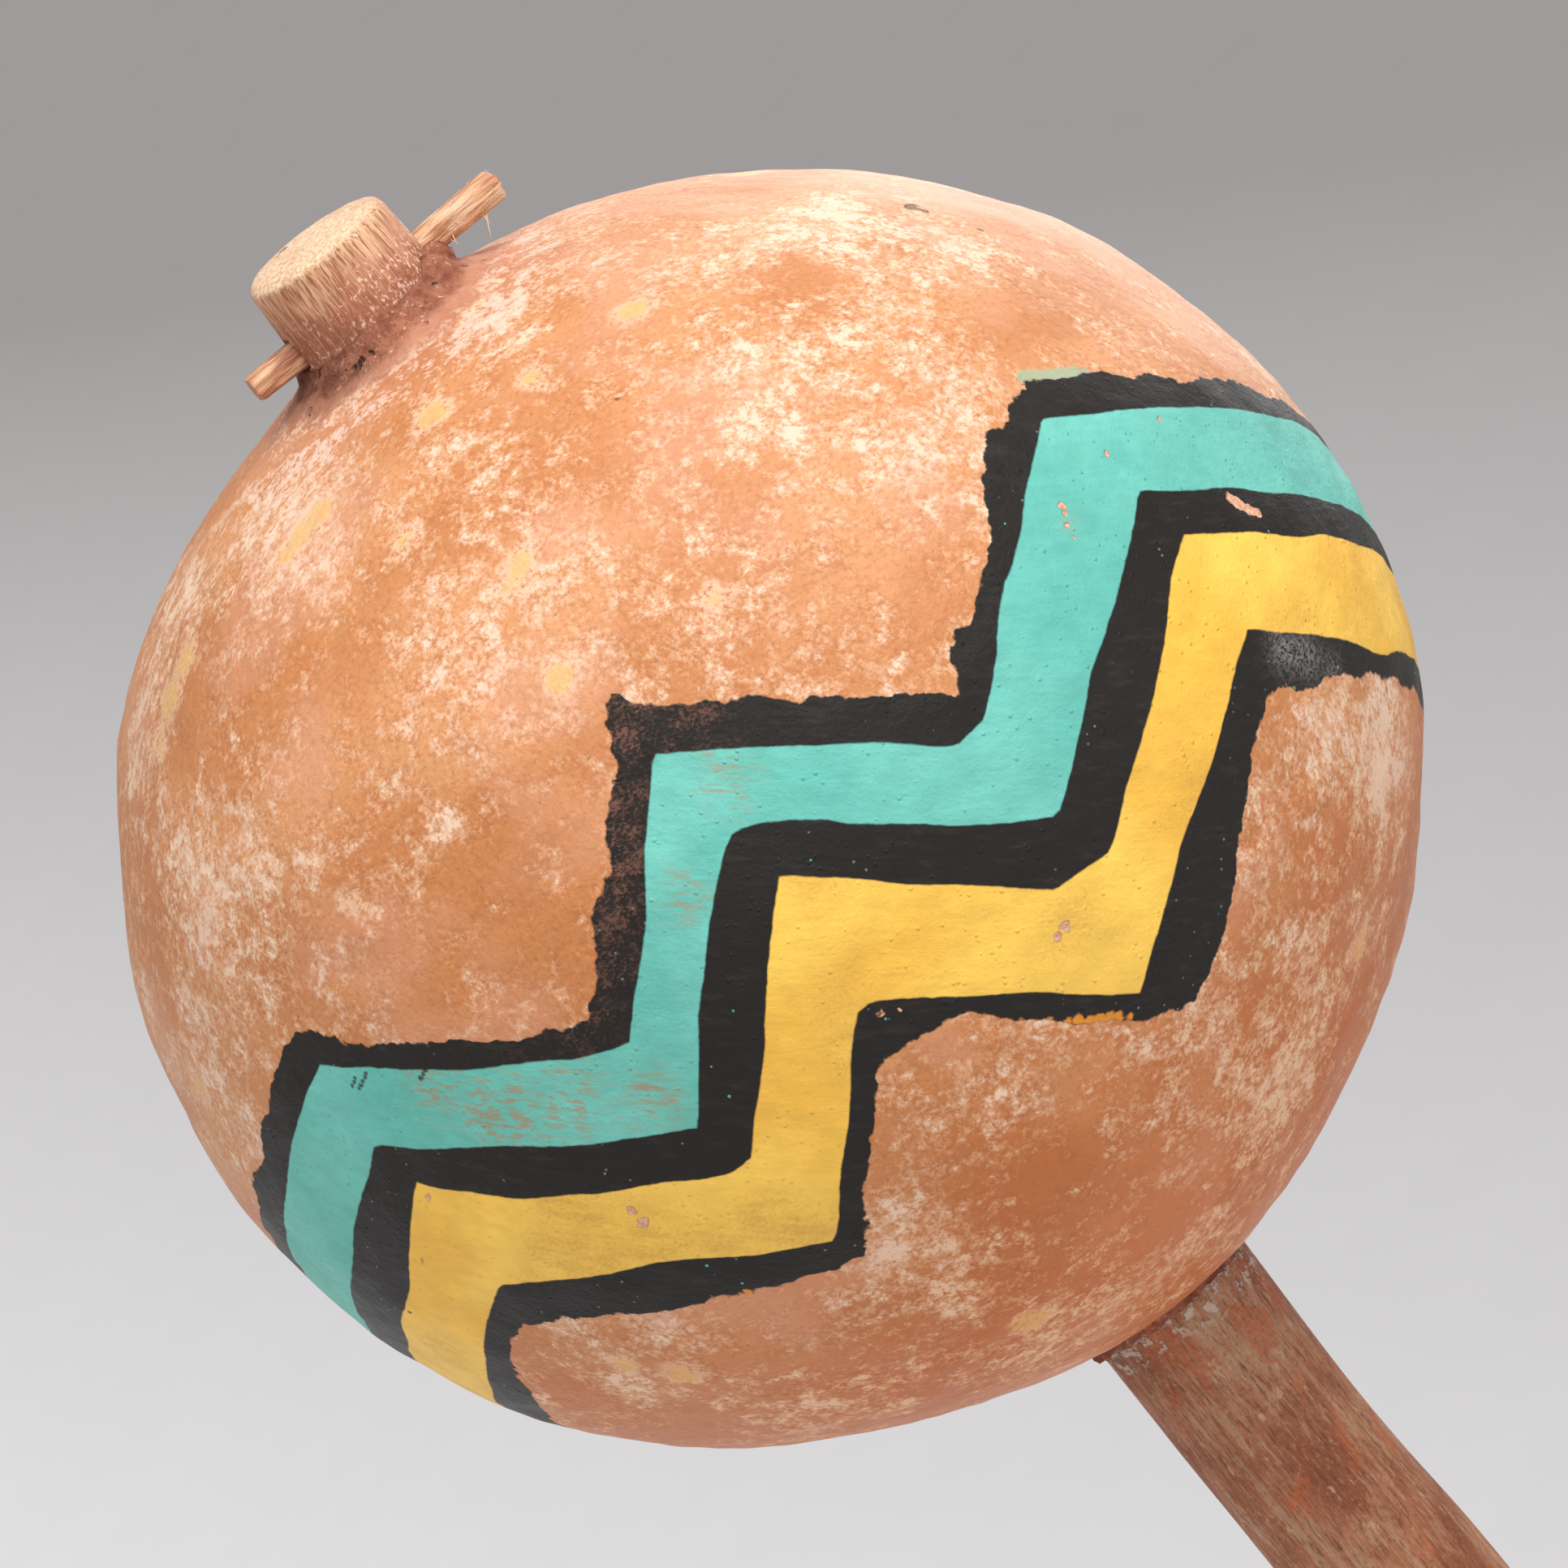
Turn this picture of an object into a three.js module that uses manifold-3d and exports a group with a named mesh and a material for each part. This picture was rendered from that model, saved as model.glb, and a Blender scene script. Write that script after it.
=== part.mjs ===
// A gourd rattle: a dried, hollow gourd threaded on one whittled stick. The stick's lower end is
// the grip, and its upper end is a stub that a cross peg locks. Clay paste seals both joints, and
// loose pebbles inside the gourd make the sound.
//
// Millimetres. +Z runs up the stick, from the butt of the grip to the stub. +X runs along the
// peg, from its thin end to its thick end. The origin is the middle of the grip.

import * as THREE from 'three';
import { mergeVertices } from 'three/addons/utils/BufferGeometryUtils.js';
import Module from 'manifold-3d';

// Driving dimensions.
const GRIP_LENGTH = 130;
const GRIP_RADIUS = 10.65;
const GOURD_RADIUS = 75.5;
const GOURD_HALF_HEIGHT = 71.8;
const SHELL_THICKNESS = 3.5;
const ROD_RADIUS = 9.6;
const STUB_TOP_RADIUS = 9.1;
const STUB_RISE = 13.9;
const PEG_LENGTH = 36.4;
const PEG_THICKNESS = 3.7;
const PEG_THIN_END = 0.86;
const PEG_THIN_SIDE_LENGTH = 15.6;
const PEG_RISE = 4.2;
const PEG_YAW = THREE.MathUtils.degToRad(8.5);
const INNER_PEBBLES = { count: 6, ringRadius: 15.5, size: 3.5, firstAngle: 0.2 };
const OUTER_PEBBLES = { count: 10, ringRadius: 26, size: 3.3, firstAngle: 0 };

// Clearance between pieces that touch, and the number of sides of round pieces.
const GAP = 0.3;
const ROUND_SIDES = 48;
const GOURD_STEPS = 22;
const RIM_STEPS = 4;

// Heights worked out from the driving dimensions.
const BUTT_Z = -GRIP_LENGTH / 2;
const GOURD_BOTTOM_Z = GRIP_LENGTH / 2;
const GOURD_CENTRE_Z = GOURD_BOTTOM_Z + GOURD_HALF_HEIGHT;
const GOURD_TOP_Z = GOURD_CENTRE_Z + GOURD_HALF_HEIGHT;
const STUB_TOP_Z = GOURD_TOP_Z + STUB_RISE;
const PEG_Z = GOURD_TOP_Z + PEG_RISE;
const SHOULDER_Z = GOURD_BOTTOM_Z - 1;
const SHELL_HOLE_RADIUS = ROD_RADIUS + 0.4;

const wasm = await Module();
wasm.setup();

// Turns a profile of [radius, height] pairs about Z. Its outer side is listed upwards.
function turned(profile) {
  const points = profile.map(([radius, height]) => new THREE.Vector2(radius, height));
  const geometry = new THREE.LatheGeometry(points, ROUND_SIDES);
  return geometry.rotateX(Math.PI / 2);
}

// Points of a quarter-circle rim, from its outermost point up to its top.
function rimArc(centreRadius, centreHeight, rimRadius) {
  const points = [];
  for (let i = 0; i <= RIM_STEPS; i += 1) {
    const angle = (i / RIM_STEPS) * (Math.PI / 2);
    points.push([centreRadius + rimRadius * Math.cos(angle), centreHeight + rimRadius * Math.sin(angle)]);
  }
  return points;
}

// The height above or below the gourd's centre of an egg-round wall, at a radius from the stick.
function wallHeight(radius, wallRadius, wallHalfHeight) {
  return wallHalfHeight * Math.sqrt(1 - (radius / wallRadius) ** 2);
}

function toSolid(geometry) {
  const bare = geometry.clone();
  bare.deleteAttribute('normal');
  bare.deleteAttribute('uv');
  const merged = mergeVertices(bare);
  const mesh = new wasm.Mesh({
    numProp: 3,
    vertProperties: new Float32Array(merged.attributes.position.array),
    triVerts: new Uint32Array(merged.index.array),
  });
  return new wasm.Manifold(mesh);
}

function toGeometry(solid) {
  const mesh = solid.getMesh();
  const geometry = new THREE.BufferGeometry();
  geometry.setAttribute('position', new THREE.BufferAttribute(mesh.vertProperties, 3));
  geometry.setIndex(new THREE.BufferAttribute(mesh.triVerts, 1));
  geometry.computeVertexNormals();
  return geometry;
}

// Places a geometry that runs along +Z from the stick's axis onto the peg's line.
function alongPeg(geometry) {
  geometry.rotateY(Math.PI / 2);
  geometry.rotateZ(PEG_YAW);
  return geometry.translate(0, 0, PEG_Z);
}

// The hollow gourd, with a hole at each end for the stick.
function gourdShell() {
  const innerRadius = GOURD_RADIUS - SHELL_THICKNESS;
  const innerHalfHeight = GOURD_HALF_HEIGHT - SHELL_THICKNESS;
  const wall = (radius, halfHeight) => {
    const edgeAngle = Math.acos(SHELL_HOLE_RADIUS / radius);
    const points = [];
    for (let i = 0; i <= GOURD_STEPS; i += 1) {
      const angle = THREE.MathUtils.lerp(-edgeAngle, edgeAngle, i / GOURD_STEPS);
      points.push([radius * Math.cos(angle), GOURD_CENTRE_Z + halfHeight * Math.sin(angle)]);
    }
    return points;
  };
  const outside = wall(GOURD_RADIUS, GOURD_HALF_HEIGHT);
  const inside = wall(innerRadius, innerHalfHeight).reverse();
  return turned([...outside, ...inside, outside[0]]);
}

// A split stick's section: a worn square with uneven corners, scaled to a thickness.
function pegSection(thickness) {
  const half = thickness / 2;
  const corners = [[-1, -0.8], [-0.7, -1], [0.6, -1], [1, -0.6], [0.95, 0.6], [0.5, 1], [-0.6, 0.95], [-1, 0.5]];
  return new THREE.Shape(corners.map(([x, y]) => new THREE.Vector2(x * half, y * half)));
}

// The peg tapers from its thick end at +X to its thin end at -X.
function crossPeg() {
  const settings = { depth: PEG_LENGTH, bevelEnabled: false, steps: 6 };
  const geometry = new THREE.ExtrudeGeometry(pegSection(PEG_THICKNESS), settings);
  const position = geometry.attributes.position;
  for (let i = 0; i < position.count; i += 1) {
    const scale = THREE.MathUtils.lerp(PEG_THIN_END, 1, position.getZ(i) / PEG_LENGTH);
    position.setXY(i, position.getX(i) * scale, position.getY(i) * scale);
  }
  geometry.translate(0, 0, -PEG_THIN_SIDE_LENGTH);
  return alongPeg(geometry);
}

// The passage that the peg slides through, longer than the pieces it crosses.
function pegPassage() {
  const length = 60;
  const settings = { depth: length, bevelEnabled: false };
  const geometry = new THREE.ExtrudeGeometry(pegSection(PEG_THICKNESS + 2 * GAP), settings);
  geometry.translate(0, 0, -length / 2);
  return toSolid(alongPeg(geometry));
}

// The stick in one piece: grip, rounded shoulder, the rod through the gourd, and the stub.
function stick() {
  const buttChamfer = 1;
  const shoulderRound = 1.5;
  const stubRound = 1.8;
  const stubDome = 0.6;
  const gripWaist = GRIP_RADIUS - 0.35;
  const profile = [
    [0, BUTT_Z],
    [GRIP_RADIUS - buttChamfer, BUTT_Z],
    [GRIP_RADIUS, BUTT_Z + buttChamfer],
    [gripWaist, BUTT_Z + 0.45 * GRIP_LENGTH],
    ...rimArc(GRIP_RADIUS - shoulderRound, SHOULDER_Z - shoulderRound, shoulderRound),
    [ROD_RADIUS, SHOULDER_Z],
    [ROD_RADIUS, GOURD_TOP_Z],
    ...rimArc(STUB_TOP_RADIUS - stubRound, STUB_TOP_Z - stubDome - stubRound, stubRound),
    [0.4 * STUB_TOP_RADIUS, STUB_TOP_Z - 0.2 * stubDome],
    [0, STUB_TOP_Z],
  ];
  return toGeometry(toSolid(turned(profile)).subtract(pegPassage()));
}

// Clay smeared round the stub's foot and out over the gourd, with a lump that cradles the peg's
// thick side.
function topPaste() {
  const boreRadius = ROD_RADIUS + GAP;
  const skirtRadius = 17;
  const collarHeight = 2.5;
  const gourdTop = (radius) => GOURD_CENTRE_Z + wallHeight(radius, GOURD_RADIUS, GOURD_HALF_HEIGHT);
  const underside = (radius) => [radius, gourdTop(radius) + GAP];
  const collar = turned([
    underside(boreRadius),
    underside(13),
    underside(skirtRadius),
    [skirtRadius, gourdTop(skirtRadius) + GAP + 0.2],
    [13.5, gourdTop(13.5) + 0.7],
    [11.6, gourdTop(11.6) + 1.3],
    [10.6, GOURD_TOP_Z + 1.6],
    [boreRadius + 0.2, GOURD_TOP_Z + collarHeight],
    [boreRadius, GOURD_TOP_Z + collarHeight],
    underside(boreRadius),
  ]);
  const lumpDrop = 1.6;
  const lump = alongPeg(turned([[0, 6], [2.9, 6], [2.9, 9.9], [2.7, 11.2], [2.5, 12.2], [0, 12.2]]));
  lump.translate(0, 0, -lumpDrop);
  const stickSpace = turned([[0, 0], [boreRadius, 0], [boreRadius, STUB_TOP_Z + 1], [0, STUB_TOP_Z + 1]]);
  const joined = toSolid(collar).add(toSolid(lump)).subtract(toSolid(stickSpace));
  return toGeometry(joined.subtract(pegPassage()));
}

// A crust of clay squeezed out between the gourd's lower rim and the grip's shoulder.
function bottomPaste() {
  const boreRadius = ROD_RADIUS + GAP;
  const crustRadius = 11.4;
  const gourdBottom = (radius) => GOURD_CENTRE_Z - wallHeight(radius, GOURD_RADIUS, GOURD_HALF_HEIGHT);
  const start = [boreRadius, SHOULDER_Z + GAP + 0.05];
  return turned([
    start,
    [10.6, SHOULDER_Z - 0.1],
    [11.1, SHOULDER_Z - 0.2],
    [crustRadius, SHOULDER_Z + 0.5],
    [crustRadius - 0.1, gourdBottom(crustRadius) - GAP - 0.1],
    [boreRadius, gourdBottom(boreRadius) - GAP - 0.1],
    start,
  ]);
}

// A worn pebble: a round stone with low uneven lumps and its own proportions.
function pebble(size, serial) {
  const geometry = new THREE.IcosahedronGeometry(size, 2);
  const position = geometry.attributes.position;
  const point = new THREE.Vector3();
  for (let i = 0; i < position.count; i += 1) {
    point.fromBufferAttribute(position, i);
    const lumps = Math.sin(0.9 * point.x + serial) + Math.sin(0.8 * point.y + 2.1 * serial);
    point.multiplyScalar(1 + 0.05 * lumps);
    point.y *= 0.84 + 0.04 * (serial % 4);
    point.z *= 0.86;
    position.setXYZ(i, point.x, point.y, point.z);
  }
  return mergeVertices(geometry.deleteAttribute('normal').deleteAttribute('uv'));
}

// The height at which a pebble lies on the gourd's inner wall, at a distance from the stick.
function pebbleRestHeight(ringRadius, size) {
  const innerRadius = GOURD_RADIUS - SHELL_THICKNESS;
  const innerHalfHeight = GOURD_HALF_HEIGHT - SHELL_THICKNESS;
  const depth = wallHeight(ringRadius, innerRadius, innerHalfHeight);
  const slope = Math.atan((innerHalfHeight / innerRadius) ** 2 * (ringRadius / depth));
  const wallClearance = 0.6;
  return GOURD_CENTRE_Z - depth + size / Math.cos(slope) + wallClearance;
}

const rattle = new THREE.Group();

function addPiece(name, geometry, colour, roughness) {
  const material = new THREE.MeshStandardMaterial({ color: colour, roughness, metalness: 0 });
  const mesh = new THREE.Mesh(geometry, material);
  mesh.name = name;
  rattle.add(mesh);
  return mesh;
}

function addPebbleRing(ring, ringName) {
  for (let i = 0; i < ring.count; i += 1) {
    const serial = i + ring.count;
    const angle = ring.firstAngle + (2 * Math.PI * i) / ring.count;
    const size = ring.size * (1 + 0.05 * Math.sin(2.4 * serial));
    const name = `pebble_${ringName}_${String(i + 1).padStart(2, '0')}`;
    const stone = addPiece(name, pebble(size, serial), 0x8c7f70, 0.75);
    const height = pebbleRestHeight(ring.ringRadius, size);
    stone.position.set(ring.ringRadius * Math.cos(angle), ring.ringRadius * Math.sin(angle), height);
    stone.rotation.z = 1.7 * serial;
  }
}

addPiece('gourd_shell', gourdShell(), 0xc27b45, 0.55);
addPiece('stick', stick(), 0xb98a5e, 0.65);
addPiece('cross_peg', crossPeg(), 0xd0a27a, 0.7);
addPiece('top_paste', topPaste(), 0xa8694f, 0.85);
addPiece('bottom_paste', bottomPaste(), 0x7c3a2a, 0.9);
addPebbleRing(INNER_PEBBLES, 'inner');
addPebbleRing(OUTER_PEBBLES, 'outer');

export default rattle;
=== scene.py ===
import math

import bmesh
import bpy
import numpy as np
from mathutils import Matrix, Vector


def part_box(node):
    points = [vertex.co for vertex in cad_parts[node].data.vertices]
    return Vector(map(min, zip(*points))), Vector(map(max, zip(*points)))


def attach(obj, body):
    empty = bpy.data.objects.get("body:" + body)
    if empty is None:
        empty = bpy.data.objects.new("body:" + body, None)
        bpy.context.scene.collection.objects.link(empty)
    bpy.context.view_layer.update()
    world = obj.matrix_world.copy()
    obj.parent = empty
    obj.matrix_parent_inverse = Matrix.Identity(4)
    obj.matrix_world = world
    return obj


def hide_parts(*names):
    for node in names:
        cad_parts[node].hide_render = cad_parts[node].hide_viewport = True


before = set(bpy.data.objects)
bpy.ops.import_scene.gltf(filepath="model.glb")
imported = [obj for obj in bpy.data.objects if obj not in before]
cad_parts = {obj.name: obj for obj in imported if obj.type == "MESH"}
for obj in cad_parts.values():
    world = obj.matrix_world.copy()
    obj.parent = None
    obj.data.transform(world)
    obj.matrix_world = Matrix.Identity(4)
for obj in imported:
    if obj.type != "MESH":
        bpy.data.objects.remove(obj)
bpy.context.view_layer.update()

# The looks of a painted gourd rattle. Lengths are named in millimetres and turned into metres at the
# end, by MM. Longitude 0 is the rattle's painted front, -Y, and longitude 90 is +X.
MM = 0.001
SEED = 7

# Inner sizes, in millimetres, and the angle that the peg is turned by.
STICK_HOLE_RADIUS = 10
WALL = 3.5
STUB_RADIUS = 9.1
ROD_RADIUS = 9.6
PEG_YAW = math.radians(8.5)

# Sizes and places read from the frame, in millimetres.
gourd_low, gourd_high = (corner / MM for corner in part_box("gourd_shell"))
stick_low, stick_high = (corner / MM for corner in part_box("stick"))
peg_low, peg_high = (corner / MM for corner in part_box("cross_peg"))
GOURD_RADIUS = (gourd_high.x - gourd_low.x) / 2
HOLE_FLATTENING = math.sqrt(1 - (STICK_HOLE_RADIUS / GOURD_RADIUS) ** 2)
GOURD_HALF_HEIGHT = (gourd_high.z - gourd_low.z) / 2 / HOLE_FLATTENING
GOURD_CENTRE = (gourd_high.z + gourd_low.z) / 2
GOURD_TOP = GOURD_CENTRE + GOURD_HALF_HEIGHT
GOURD_BOTTOM = GOURD_CENTRE - GOURD_HALF_HEIGHT
GRIP_RADIUS = (stick_high.x - stick_low.x) / 2
BUTT, STUB_TOP = stick_low.z, stick_high.z
SHOULDER = GOURD_BOTTOM - 1
PEG_HEIGHT = (peg_low.z + peg_high.z) / 2
PEG_THICKNESS = peg_high.z - peg_low.z
PEG_START = peg_low.x / math.cos(PEG_YAW) + 0.25
PEG_END = peg_high.x / math.cos(PEG_YAW) - 0.25


# ---------------------------------------------------------------- camera, lights and floor

CAMERA_DISTANCE = 1100
CAMERA_ELEVATION = math.radians(15)
CAMERA_ROLL = math.radians(39)
VIEW_WIDTH = 178.9
SENSOR_WIDTH = 36


def camera_axes():
    """The camera's right, up and forward directions: the stick leans to the picture's left."""
    forward = Vector((0, math.cos(CAMERA_ELEVATION), -math.sin(CAMERA_ELEVATION)))
    level_right = Vector((1, 0, 0))
    level_up = level_right.cross(forward)
    right = math.cos(CAMERA_ROLL) * level_right - math.sin(CAMERA_ROLL) * level_up
    up = math.sin(CAMERA_ROLL) * level_right + math.cos(CAMERA_ROLL) * level_up
    return right, up, forward


RIGHT, UP, FORWARD = camera_axes()
AIM = Vector((0, 0, GOURD_CENTRE)) + 1.5 * RIGHT + 2.9 * UP


def pointed(location, target):
    """A placement at a location, in millimetres, that looks at a target."""
    towards = target - location
    return Matrix.Translation(location * MM) @ towards.to_track_quat("-Z", "Y").to_matrix().to_4x4()


def make_camera():
    data = bpy.data.cameras.new("camera")
    data.sensor_width = SENSOR_WIDTH
    data.lens = SENSOR_WIDTH * CAMERA_DISTANCE / VIEW_WIDTH
    data.clip_end = 50
    camera = bpy.data.objects.new("camera", data)
    bpy.context.scene.collection.objects.link(camera)
    turn = Matrix((RIGHT, UP, -FORWARD)).transposed().to_4x4()
    camera.matrix_world = Matrix.Translation((AIM - CAMERA_DISTANCE * FORWARD) * MM) @ turn
    bpy.context.scene.camera = camera


def add_light(name, direction, distance, size, power, colour=(1, 1, 1)):
    """A soft square lamp that looks at the gourd from a direction [right, up, towards the camera]."""
    data = bpy.data.lights.new(name, "AREA")
    data.size = size * MM
    data.energy = power
    data.color = colour
    lamp = bpy.data.objects.new(name, data)
    bpy.context.scene.collection.objects.link(lamp)
    across, above, near = direction
    heading = (across * RIGHT + above * UP - near * FORWARD).normalized()
    lamp.matrix_world = pointed(AIM + distance * heading, AIM)
    lamp.visible_camera = False


def make_lights():
    add_light("key", (-0.1, 1.0, 0.7), 1100, 800, 13.0)
    add_light("front_fill", (0.0, 0.1, 1.0), 1500, 1100, 2.6)
    add_light("left_fill", (-1.0, 0.0, 0.35), 1400, 900, 3.2)
    add_light("right_fill", (1.0, 0.1, 0.35), 1400, 900, 5.2)
    add_light("back_fill", (0.2, 0.7, -1.0), 1300, 900, 7)
    world = bpy.data.worlds.new("studio")
    bpy.context.scene.world = world
    world.use_nodes = True
    background = world.node_tree.nodes["Background"]
    background.inputs["Color"].default_value = (0.435, 0.42, 0.42, 1)
    background.inputs["Strength"].default_value = 1
    bpy.context.scene.view_settings.view_transform = "Standard"


# ---------------------------------------------------------------- materials

class Shader:
    """A node material, built by short calls. Its lengths are millimetres."""

    def __init__(self, name):
        self.material = bpy.data.materials.new(name)
        self.material.use_nodes = True
        self.nodes = self.material.node_tree.nodes
        self.links = self.material.node_tree.links
        self.nodes.clear()
        self.surface = self.node("BsdfPrincipled", {})
        self.node("OutputMaterial", {"Surface": self.surface.outputs["BSDF"]})
        coordinates = self.node("TexCoord", {})
        self.place = self.vector("SCALE", coordinates.outputs["Object"], scale=1 / MM)

    def connect(self, node, inputs):
        """Gives some of a node's inputs a value each, or links them to another node's output."""
        for name, value in inputs.items():
            if isinstance(value, bpy.types.NodeSocket):
                self.links.new(value, node.inputs[name])
            else:
                node.inputs[name].default_value = value

    def node(self, kind, inputs, **settings):
        node = self.nodes.new("ShaderNode" + kind)
        for name, value in settings.items():
            setattr(node, name, value)
        self.connect(node, inputs)
        return node

    def math(self, operation, *values, clamp=False):
        node = self.node("Math", dict(enumerate(values)), operation=operation, use_clamp=clamp)
        return node.outputs[0]

    def add(self, *values):
        total = values[0]
        for value in values[1:]:
            total = self.math("ADD", total, value)
        return total

    def times(self, *values):
        total = values[0]
        for value in values[1:]:
            total = self.math("MULTIPLY", total, value)
        return total

    def flip(self, value):
        return self.math("SUBTRACT", 1.0, value, clamp=True)

    def vector(self, operation, first, second=None, scale=None, output="Vector"):
        inputs = {0: first, 1: second, "Scale": scale}
        given = {name: value for name, value in inputs.items() if value is not None}
        return self.node("VectorMath", given, operation=operation).outputs[output]

    def stretched(self, size, stretch=(1, 1, 1), seed=0, source=None):
        """Coordinates in which a feature of a size is one unit long, longer along a stretched axis."""
        scale = [1 / (size * longer) for longer in stretch]
        location = (seed * 13.7, seed * 7.9, seed * 3.1)
        inputs = {"Vector": source or self.place, "Scale": scale, "Location": location}
        return self.node("Mapping", inputs).outputs["Vector"]

    def turned(self, rotation):
        """The place, turned by angles about X, Y and Z."""
        return self.node("Mapping", {"Vector": self.place, "Rotation": rotation}).outputs["Vector"]

    def noise(self, size, detail=2, stretch=(1, 1, 1), seed=0, roughness=0.5, distortion=0, source=None,
              output=0):
        place = self.stretched(size, stretch, seed, source)
        inputs = {"Vector": place, "Scale": 1, "Detail": detail, "Roughness": roughness,
                  "Distortion": distortion}
        return self.node("TexNoise", inputs).outputs[output]

    def cells(self, size, seed=0, feature="F1", shift=None):
        """The distance to a scattered point, or to the edge between two, with the cells shifted about."""
        place = self.place if shift is None else self.vector("ADD", self.place, shift)
        inputs = {"Vector": self.stretched(size, seed=seed, source=place), "Scale": 1}
        return self.node("TexVoronoi", inputs, feature=feature).outputs["Distance"]

    def centred(self, noise, reach):
        """Noise moved down to lie about zero, and multiplied by a reach."""
        return self.times(self.math("SUBTRACT", noise, 0.5), reach)

    def wobble(self, size, reach, seed=0, detail=2):
        """Noise about zero, which goes about half of reach either way."""
        return self.centred(self.noise(size, detail, seed=seed), 2 * reach)

    def ragged(self, size, reach, seed=0):
        """A small random displacement, for uneven outlines."""
        colour = self.noise(size, seed=seed, output="Color")
        return self.vector("SCALE", self.vector("SUBTRACT", colour, (0.5, 0.5, 0.5)), scale=2 * reach)

    def step(self, value, low, high, smooth=True):
        """A number that goes from 0 to 1 as a value goes from low to high."""
        inputs = {"Value": value, "From Min": low, "From Max": high}
        kind = "SMOOTHSTEP" if smooth else "LINEAR"
        return self.node("MapRange", inputs, interpolation_type=kind).outputs["Result"]

    def blend(self, factor, first, second):
        """A number that goes from first to second."""
        return self.node("Mix", {"Factor": factor, 2: first, 3: second}).outputs[0]

    def mix(self, factor, first, second):
        """A colour that goes from first to second."""
        first, second = (colour if isinstance(colour, bpy.types.NodeSocket) else (*colour, 1)
                         for colour in (first, second))
        return self.node("Mix", {"Factor": factor, 6: first, 7: second}, data_type="RGBA").outputs[2]

    def over(self, base, tint, *amounts):
        """A base colour with a tint laid over it, as strongly as the product of some amounts."""
        return self.mix(self.times(*amounts), base, tint)

    def shade(self, colour, factor):
        """A colour made darker or lighter by a number."""
        return self.vector("SCALE", colour, scale=factor)

    def attribute(self, name):
        return self.node("Attribute", {}, attribute_name=name).outputs["Fac"]

    def axis(self, letter):
        return self.node("SeparateXYZ", {0: self.place}).outputs[letter]

    def radius(self):
        """The distance from the stick's axis."""
        flat = self.vector("MULTIPLY", self.place, (1, 1, 0))
        return self.vector("LENGTH", flat, output="Value")

    def spots(self, spots, shift, low, high):
        """Round spots [point, radius] with shifted outlines: a number that goes from 0 to 1 between two
        depths inside the nearest spot."""
        place = self.vector("ADD", self.place, shift)
        depth = None
        for point, radius in spots:
            distance = self.vector("DISTANCE", place, tuple(point), output="Value")
            inside = self.math("SUBTRACT", radius, distance)
            depth = inside if depth is None else self.math("MAXIMUM", depth, inside)
        return self.step(depth, low, high)

    def finish(self, colour, roughness, relief, specular):
        """Colour, roughness, a relief in millimetres and the strength of the gloss."""
        bump = self.node("Bump", {"Strength": 1, "Distance": MM, "Height": relief})
        self.connect(self.surface, {"Base Color": colour, "Roughness": roughness,
                                    "Specular IOR Level": specular, "Normal": bump.outputs["Normal"]})
        return self.material


# ---------------------------------------------------------------- the gourd's painted skin

# The edges of the painted steps, from the top down, each a line of corners [longitude in degrees,
# height in mm above the gourd's middle] over the front, with the heights of its peaks and valleys
# round the back.
BAND_EDGES = (
    ("edge_0", 33, 13, (
        (-82, 1), (-73, 8.9), (-52, 26.5), (-23.5, 12.4), (-15.6, 22.9), (-4.9, 37.8), (18.8, 16),
        (25.8, 21), (34.3, 26.5), (35.6, 28.9), (48.9, 32), (79, 2.3), (84, -2.6),
    )),
    ("edge_1", 27, 9, (
        (-82, -3.7), (-67.5, 8), (-50.6, 22.2), (-21.6, 7.9), (-11.8, 21.9), (-5, 31.1), (6.3, 21.9),
        (15.5, 11.8), (18.7, 11.5), (28.8, 20.1), (45.4, 28.3), (58.4, 16.8), (83, -5.4),
    )),
    ("edge_2", 17, -4, (
        (-82, -15.1), (-65.9, -2.7), (-49.4, 11.9), (-35.7, 4.7), (-21.3, -3.8), (-15.3, 7.1),
        (-5.3, 19.2), (-3.4, 20.1), (3.2, 14.9), (10.4, 5.8), (18.3, -1.3), (28.7, 7), (43.1, 14),
        (45.8, 15.4), (62.9, -1), (83, -19),
    )),
    ("edge_3", 11, -10, (
        (-82, -23.5), (-57.9, -5.1), (-47.9, 6), (-40.3, 0.6), (-21.8, -9.9), (-19.7, -10), (-8.3, 5.9),
        (-2.6, 13.9), (5.4, 3.5), (14.2, -7), (19.9, -8.4), (38.8, 5.2), (45.8, 9.3), (58.1, -3.1),
        (83, -24.2),
    )),
    ("edge_4", -4, -24, (
        (-82, -34.9), (-66.6, -23.8), (-56.4, -15.4), (-48.2, -9.2), (-33.6, -14.3), (-19.4, -24.3),
        (-11.1, -12.5), (-5, -3.3), (-3.2, -3.1), (15, -23.1), (25, -14.2), (40.5, -4.7), (44.2, -3.3),
        (53.5, -13.4), (61.5, -21.1), (83, -34.7),
    )),
    ("edge_5", -10, -30, (
        (-82, -43), (-66.2, -31.1), (-54.9, -17.5), (-51.1, -14.6), (-30.6, -22.9), (-22, -27.8),
        (-18.7, -27.4), (-10.8, -15.5), (-6.2, -9.2), (1.2, -10.9), (13.6, -25.4), (19, -29.1),
        (26.7, -24), (32.3, -16.4), (41.4, -9.6), (57.7, -21.3), (83, -41.5),
    )),
)

# Round the back the steps are even: the first peak's longitude, the degrees from peak to peak, and how
# many there are. Past both ends of its front an edge runs on by some degrees, down a slope in mm each.
BACK_FIRST_PEAK = 108
BACK_STEP = 48
BACK_PEAKS = 4
SIDE_RUN_ON = 4
SIDE_SLOPE = 0.9

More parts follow.
